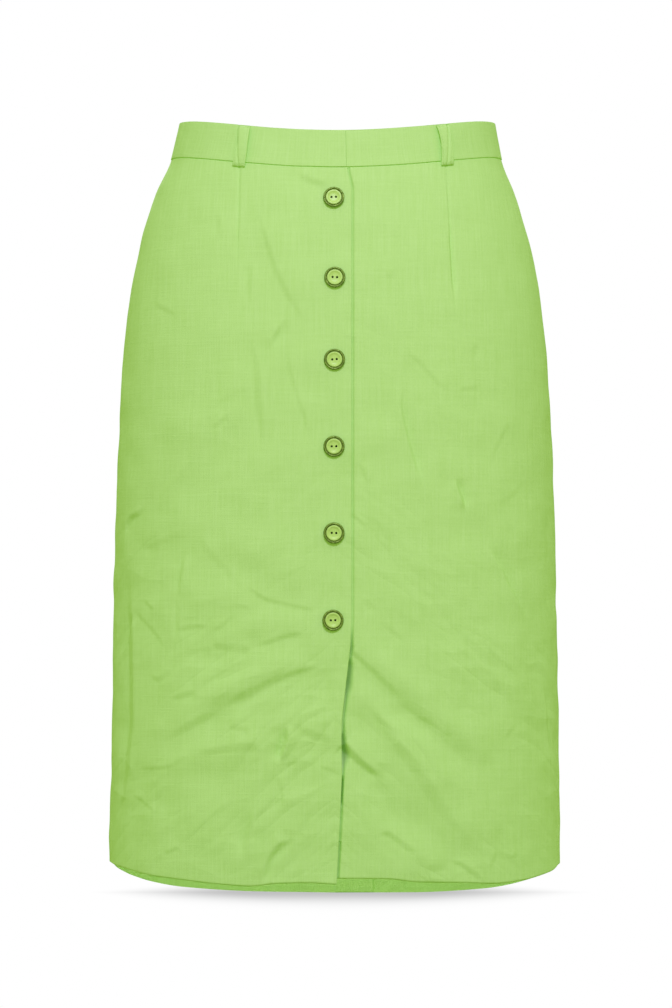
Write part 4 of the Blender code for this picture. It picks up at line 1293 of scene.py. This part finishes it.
def woven_lime():
    """Lime linen-look plain weave, with slubs in warp and weft, on the cloth's own map, and a painted lime
    glow that is weaker where the cloth lies sunk.
    """
    finish, n = new_finish("woven_lime")
    where = n.add("ShaderNodeUVMap", uv_map="cloth").outputs["UV"]
    split = n.add("ShaderNodeSeparateXYZ", {"Vector": where}).outputs
    warp_slub = n.noise(where, *WARP_SLUB)
    weft_slub = n.noise(where, *WEFT_SLUB)
    streaks = n.math("ADD", n.ramp(warp_slub, *WARP_RANGE), n.ramp(weft_slub, *SLUB_RANGE))
    wide = n.math("ADD", n.ramp(n.noise(where, *WARP_WIDE), *WARP_RANGE),
                  n.ramp(n.noise(where, *WEFT_WIDE), *SLUB_RANGE))
    tone = n.math("ADD", n.math("MULTIPLY", streaks, SLUB_TONE),
                  n.math("MULTIPLY", wide, WIDE_TONE))
    patches = n.noise(where, *CLOTH_PATCHES)
    tone = n.math("ADD", tone, n.math("MULTIPLY", patches, PATCH_TONE))
    mirrored = n.add("ShaderNodeCombineXYZ", {
        "X": n.math("ABSOLUTE", split["X"]), "Y": split["Y"]}).outputs[0]
    folds = [n.crumple(mirrored, *run) for run in CRUMPLE_RUNS]
    crumpled = n.math("SUBTRACT", n.math("ADD", folds[0], folds[1]), folds[2])
    here = n.ramp(n.noise(where, *CRUMPLE_PATCHES), *CRUMPLE_HERE)
    lower = n.ramp(split["Y"], *CRUMPLE_LOWER)
    crumpled = n.math("MULTIPLY", crumpled, n.math("MULTIPLY", here, lower))
    warp, weft = (n.math("SINE", n.math("MULTIPLY", way, 2 * math.pi / YARN_PITCH))
                  for way in (split["X"], split["Y"]))
    thick = n.math("MAXIMUM", n.ramp(warp_slub, *THICK_RANGE), n.ramp(weft_slub, *THICK_RANGE))
    normal = n.bump(crumpled, *CRUMPLE_BUMP)
    normal = n.bump(n.math("MULTIPLY", warp, weft), *WEAVE_BUMP, normal)
    normal = n.bump(thick, *SLUB_BUMP, normal)
    normal = n.bump(wide, *WIDE_BUMP, normal)
    # The sunk attribute dims the painted glow: painted shade where the cloth lies sunk.
    sunk = n.add("ShaderNodeAttribute", attribute_name="sunk").outputs["Fac"]
    n.shade(Base_Color=n.blend(n.ramp(tone, *TONE_RANGE), CLOTH_LIME, CLOTH_LIME_PALE),
            Normal=normal, Roughness=0.86, Specular_IOR_Level=0.15, Sheen_Weight=0.08,
            Sheen_Roughness=0.5, Sheen_Tint=SHEEN_LIME, Emission_Color=PAINTED_GLOW_LIME,
            Emission_Strength=n.ramp(sunk, 0.0, 1.0, PAINTED_GLOW, PAINTED_GLOW_SUNK))
    return finish


def sewing_thread():
    """Sewing thread in the cloth's lime, with the cloth's painted lime glow."""
    finish, n = new_finish("sewing_thread")
    fibre = n.noise(n.place(), *THREAD_FIBRE)
    n.shade(Base_Color=n.blend(fibre, THREAD_LIME, CLOTH_LIME_PALE),
            Normal=n.bump(fibre, *THREAD_BUMP), Roughness=0.6, Specular_IOR_Level=0.35,
            Sheen_Weight=0.15, Emission_Strength=PAINTED_GLOW, Emission_Color=PAINTED_GLOW_LIME)
    return finish


def aged_brass():
    """Dark aged brass, worn bright in specks."""
    finish, n = new_finish("aged_brass")
    place = n.place()
    specks = n.noise(place, *BRASS_SPECKS)
    cloud = n.math("MULTIPLY", n.noise(place, *BRASS_CLOUD), BRASS_CLOUD_SHARE)
    worn = n.ramp(n.math("ADD", specks, cloud), *BRASS_WORN)
    n.shade(Base_Color=n.blend(worn, BRASS_DARK, BRASS_LIGHT),
            Roughness=n.ramp(worn, *BRASS_ROUGHNESS), Normal=n.bump(specks, *BRASS_BUMP),
            Metallic=0.35)
    return finish


def pearly_resin():
    """Lime resin with a faint pearl in random swirls, and painted sheen: paler where the face turns from
    the view.
    """
    finish, n = new_finish("pearly_resin")
    # Painted sheen: the colour turns paler where the face turns from the view.
    facing = n.add("ShaderNodeLayerWeight", {"Blend": RESIN_FACING}).outputs["Facing"]
    pearl_and_edge_sheen = n.math("ADD", n.ramp(n.noise(n.place(), *RESIN_PEARL), *RESIN_SHINE),
                   n.math("MULTIPLY", facing, RESIN_EDGE_SHEEN))
    n.shade(Base_Color=n.blend(pearl_and_edge_sheen, RESIN_LIME, RESIN_PALE), Roughness=0.42, Coat_Weight=0.08,
            Coat_Roughness=0.25, Specular_IOR_Level=0.3)
    return finish


def painted_hole_shade():
    """Painted shade: a near-black inside for each thread hole, standing in for the shade deep in it."""
    finish, n = new_finish("painted_hole_shade")
    n.shade(Base_Color=HOLE_PAINTED_SHADE, Roughness=1.0, Specular_IOR_Level=0.0)
    return finish


# Sewing. Each row of stitches is one mesh: a short bar at each point of a line.
STITCH_BAR = 0.0021
STITCH_THREAD = 0.00034
STITCH_PITCH = 0.0027
STITCH_SUNK = 0.00008
STITCH_SHARES = (0.02, 0.985, 80)
TACK_SHARES = (0.030, 0.935, 0.965)
TACK_PITCH = STITCH_PITCH * 0.72
TACK_INSET = 0.0010
TACK_PROUD = 0.00002
TACK_POINTS = 30
OVERLOCK_PITCH = 0.0030
OVERLOCK_BAR = 0.0046 * 0.62
OVERLOCK_BELOW = 0.0012
OVERLOCK_SLANT = 0.45
OVERLOCK_INSET = slice(6, -6)
DIRECTION_STEP = 1e-4
LOOSE_THREAD = 0.00032
LOOSE_FROM = 0.52
LOOSE_TO = 0.80
LOOSE_RINGS = 40
LOOSE_POINTS = 8


def stitch_tree(finish):
    """Geometry Nodes that lay one stitch along each point's own direction."""
    n = Nodes(bpy.data.node_groups.new("lay_stitches", "GeometryNodeTree"))
    for name, way, kind in (("Points", "INPUT", "Geometry"), ("Stitch length", "INPUT", "Float"),
                            ("Thread width", "INPUT", "Float"),
                            ("Stitches", "OUTPUT", "Geometry")):
        n.tree.interface.new_socket(name, in_out=way, socket_type="NodeSocket" + kind)
    start = n.add("NodeGroupInput").outputs
    bar = n.add("GeometryNodeMeshUVSphere", {"Segments": 6, "Rings": 5, "Radius": 0.5})
    lay = n.add("GeometryNodeInputNamedAttribute", {"Name": "lay"}, data_type="FLOAT_VECTOR")
    turn = n.add("FunctionNodeAlignRotationToVector", {"Vector": lay.outputs["Attribute"]},
                 axis="X")
    size = n.add("ShaderNodeCombineXYZ", {
        "X": start["Stitch length"], "Y": start["Thread width"], "Z": start["Thread width"]})
    made = n.add("GeometryNodeInstanceOnPoints", {
        "Points": start["Points"], "Instance": bar.outputs["Mesh"],
        "Rotation": turn.outputs["Rotation"], "Scale": size.outputs["Vector"]}).outputs[0]
    for kind in ("RealizeInstances", "SetShadeSmooth", "SetMaterial"):
        laid = n.add("GeometryNode" + kind, {"Geometry": made})
        made = laid.outputs["Geometry"]
    laid.inputs["Material"].default_value = finish
    n.add("NodeGroupOutput", {"Stitches": made})
    return n.tree


def add_stitches(name, tree, places, lays, bar, finish):
    """One piece of many stitches, at places, each along its own direction."""
    mesh = bpy.data.meshes.new(name + "_places")
    mesh.from_pydata(places.tolist(), [], [])
    layer = mesh.attributes.new("lay", "FLOAT_VECTOR", "POINT")
    layer.data.foreach_set("vector", lays.astype(np.float32).ravel())
    guide = put_in_scene(name + "_places", mesh)
    modifier = guide.modifiers.new("stitches", "NODES")
    modifier.node_group = tree
    sizes = {"Stitch length": bar, "Thread width": STITCH_THREAD}
    for item in tree.interface.items_tree:
        if item.name in sizes:
            modifier[item.identifier] = sizes[item.name]
    depsgraph = bpy.context.evaluated_depsgraph_get()
    made = bpy.data.meshes.new_from_object(guide.evaluated_get(depsgraph), depsgraph=depsgraph)
    made.name = name
    bpy.data.objects.remove(guide)
    made.materials.clear()
    made.materials.append(finish)
    return ride_along(name, made)


def stepped(points, pitch):
    """Places along a line at an even pitch, and the line's direction at each."""
    run = run_along(np.linalg.norm(np.diff(points, axis=0), axis=1))

    def at(distance):
        return np.stack([np.interp(distance, run, points[:, k]) for k in range(3)], axis=1)

    where = np.arange(pitch / 2, run[-1], pitch)
    lays = at(where + DIRECTION_STEP) - at(where - DIRECTION_STEP)
    return at(where), lays / np.linalg.norm(lays, axis=1, keepdims=True)


def add_loop_stitches(loop, tree, finish):
    """Two rows down a belt loop, and the bars that hold its two ends."""
    rows = []
    share = np.linspace(*STITCH_SHARES)
    for side in (-1, 1):
        across = side * (LOOP_SPAN / 2 - STITCH_INSET) * loop_width(share)
        rows.append(stepped(loop_surface(loop, share, across, -STITCH_SUNK), STITCH_PITCH))
    across = np.linspace(-LOOP_SPAN / 2 + TACK_INSET, LOOP_SPAN / 2 - TACK_INSET, TACK_POINTS)
    for share_at in TACK_SHARES:
        line = loop_surface(loop, np.full_like(across, share_at), across, TACK_PROUD)
        rows.append(stepped(line, TACK_PITCH))
    places, lays = (np.concatenate(part) for part in zip(*rows))
    return add_stitches("sewing_" + loop.name, tree, places, lays, STITCH_BAR, finish)


def add_hem_overlock(shell, tree, finish):
    """Overlocked edge of the hem's turned-up cloth, inside."""
    angle, drop, share = shell_net(shell)
    shift = shell.out_of(angle, drop, share)
    row = int(np.argmin(np.abs(share[:, 0] - (1 - HEM_DEPTH / LENGTH)))) + 1
    angle, drop, shift = (net[row, OVERLOCK_INSET] for net in (angle, drop, shift))
    line = cloth_point(angle, drop + OVERLOCK_BELOW, shift - HEM_CLOTH - STITCH_THREAD / 3)
    places, lays = stepped(line, OVERLOCK_PITCH)
    lays = lays * OVERLOCK_SLANT + np.array([0.0, 0.0, -1.0])
    lays /= np.linalg.norm(lays, axis=1, keepdims=True)
    return add_stitches("overlock_" + shell.node, tree, places, lays, OVERLOCK_BAR, finish)


def add_loose_thread(loop, finish):
    """A short end of thread left beside the left belt loop."""
    share = np.linspace(LOOSE_FROM, LOOSE_TO, LOOSE_RINGS)
    t = np.linspace(0, 1, LOOSE_RINGS)
    across = -LOOP_SPAN / 2 - 0.0006 + 0.0014 * t + 0.0007 * np.sin(5.2 * t)
    line = loop_surface(loop, share, across, 0.0002 + 0.0005 * np.sin(math.pi * t))
    rings = []
    for k in range(len(line)):
        ahead = Vector(line[min(k + 1, len(line) - 1)] - line[max(k - 1, 0)]).normalized()
        side = ahead.cross(Vector((0, -1, 0))).normalized()
        up = side.cross(ahead)
        for j in range(LOOSE_POINTS):
            turn = 2 * math.pi * j / LOOSE_POINTS
            rings.append(Vector(line[k]) + (side * math.cos(turn) + up * math.sin(turn))
                         * LOOSE_THREAD / 2)
    faces = tube_faces(len(line), LOOSE_POINTS)
    return new_piece("loose_thread", [tuple(p) for p in rings], faces, finish)


# The stage: a floor that the camera sees white, with the skirt's soft shade drawn on it. Other
# rays see it plain and dull green, and it throws a little light back up.
FLOOR_Z = -0.6735
FLOOR_HALF = 12.0
FLOOR_BOUNCE = (0.36, 0.38, 0.18)
SHADE_DEPTH = 0.47
SHADE_CENTRE = (0.004, 0.240)
SHADE_FALL = 17.0
SHADE_ENDS = (0.085, 0.235)
SHADE_ROUNDED = 0.25


def floor_finish():
    """White floor with a drawn shade, deepest under the back hem and gone at both ends."""
    finish, n = new_finish("white_floor")
    split = n.add("ShaderNodeSeparateXYZ", {"Vector": n.place()}).outputs
    aside, ahead = (n.math("ABSOLUTE", n.math("SUBTRACT", split[axis], middle))
                    for axis, middle in zip("XY", SHADE_CENTRE))
    fall = n.math("MULTIPLY", n.math("MULTIPLY", ahead, ahead), -SHADE_FALL)
    depth = n.math("MULTIPLY", n.math("EXPONENT", fall), SHADE_DEPTH)
    reach = n.math("ADD", aside, n.math("MULTIPLY", ahead, SHADE_ROUNDED))
    ends = n.ramp(reach, *SHADE_ENDS, 1.0, 0.0, "SMOOTHSTEP")
    white = n.math("SUBTRACT", 1.0, n.math("MULTIPLY", depth, ends))
    glow = n.add("ShaderNodeEmission", {"Strength": white})
    bounce = n.add("ShaderNodeBsdfDiffuse", {"Color": FLOOR_BOUNCE})
    seen = n.add("ShaderNodeLightPath").outputs["Is Camera Ray"]
    both = n.add("ShaderNodeMixShader", {0: seen, 1: bounce.outputs[0], 2: glow.outputs[0]})
    n.give(n.tree.nodes["Material Output"].inputs["Surface"], both.outputs[0])
    n.tree.nodes.remove(n.tree.nodes["Principled BSDF"])
    return finish


def add_floor():
    """The floor, just below the hem."""
    mesh = bpy.data.meshes.new("floor")
    h = FLOOR_HALF
    mesh.from_pydata([(-h, -h, FLOOR_Z), (h, -h, FLOOR_Z), (h, h, FLOOR_Z), (-h, h, FLOOR_Z)],
                     [], [(0, 1, 2, 3)])
    mesh.materials.append(floor_finish())
    floor = put_in_scene("floor", mesh)
    floor.visible_shadow = False


WORLD_LIGHT = 0.664
WORLD_TINT = (0.885, 1.0, 0.49)
WHITE = (1.0, 1.0, 1.0)


def add_world():
    """White behind everything, weaker and tinted as light."""
    world = bpy.data.worlds.new("white_studio")
    bpy.context.scene.world = world
    world.use_nodes = True
    n = Nodes(world.node_tree)
    seen = n.add("ShaderNodeLightPath").outputs["Is Camera Ray"]
    background = n.tree.nodes["Background"]
    n.give(background.inputs["Color"], n.blend(seen, WORLD_TINT, WHITE))
    n.give(background.inputs["Strength"], n.ramp(seen, 0.0, 1.0, WORLD_LIGHT, 1.0))


Lamp = namedtuple("Lamp", "name place aim width height power tint")
LAMPS = (
    Lamp("key", (0.12, -3.19, 2.04), (0.0, 0.0, -0.35), 1.0, 0.8, 75.7, (1.115, 1.0, 1.51)),
    Lamp("back_key", (-0.20, 3.14, 2.11), (0.0, 0.0, -0.35), 1.0, 0.8, 70.0, (1.115, 1.0, 1.51)),
    Lamp("under_hem", (0.0, -0.02, -0.60), (0.0, 0.12, -0.67), 0.30, 0.04, 0.145,
         (1.1, 1.0, 1.1)),
)


def aim_object(name, data, place, aim):
    """An object at a place, turned to look at a point."""
    made = put_in_scene(name, data)
    made.location = place
    made.rotation_euler = (Vector(aim) - Vector(place)).to_track_quat("-Z", "Y").to_euler()
    return made


def add_lamps():
    """Soft lamps, unseen by the camera."""
    for lamp in LAMPS:
        light = bpy.data.lights.new(lamp.name, "AREA")
        light.shape = "RECTANGLE"
        light.size = lamp.width
        light.size_y = lamp.height
        light.energy = lamp.power
        light.color = lamp.tint
        aim_object(lamp.name, light, lamp.place, lamp.aim).visible_camera = False


CAMERA_PLACE = (0.0006, -5.0, -0.5)
CAMERA_AIM = (0.0009, 0.0, -0.3296)
CAMERA_LENS = 206.1
CAMERA_SENSOR = 36.0
CAMERA_FAR = 60.0


def add_camera():
    """A long lens in front, below the middle of the skirt, looking slightly up."""
    lens = bpy.data.cameras.new("camera")
    lens.sensor_width = CAMERA_SENSOR
    lens.lens = CAMERA_LENS
    lens.clip_end = CAMERA_FAR
    bpy.context.scene.camera = aim_object("camera", lens, CAMERA_PLACE, CAMERA_AIM)


def main():
    cloth = woven_lime()
    thread = sewing_thread()
    tree = stitch_tree(thread)
    for shell in SHELLS:
        panel = add_shell(shell, cloth)
        overlock = add_hem_overlock(shell, tree, thread)
    underlap = add_vent_underlap(cloth)
    band = add_waistband(cloth)
    for loop in LOOPS:
        strip = add_belt_loop(loop, cloth)
        extras = [add_loop_stitches(loop, tree, thread)]
        if loop.name == "belt_loop_front_left":
            extras.append(add_loose_thread(loop, thread))
    add_buttons(aged_brass(), pearly_resin(), painted_hole_shade())
    add_floor()
    add_world()
    add_lamps()
    add_camera()
    bpy.context.scene.view_settings.view_transform = "Standard"


main()
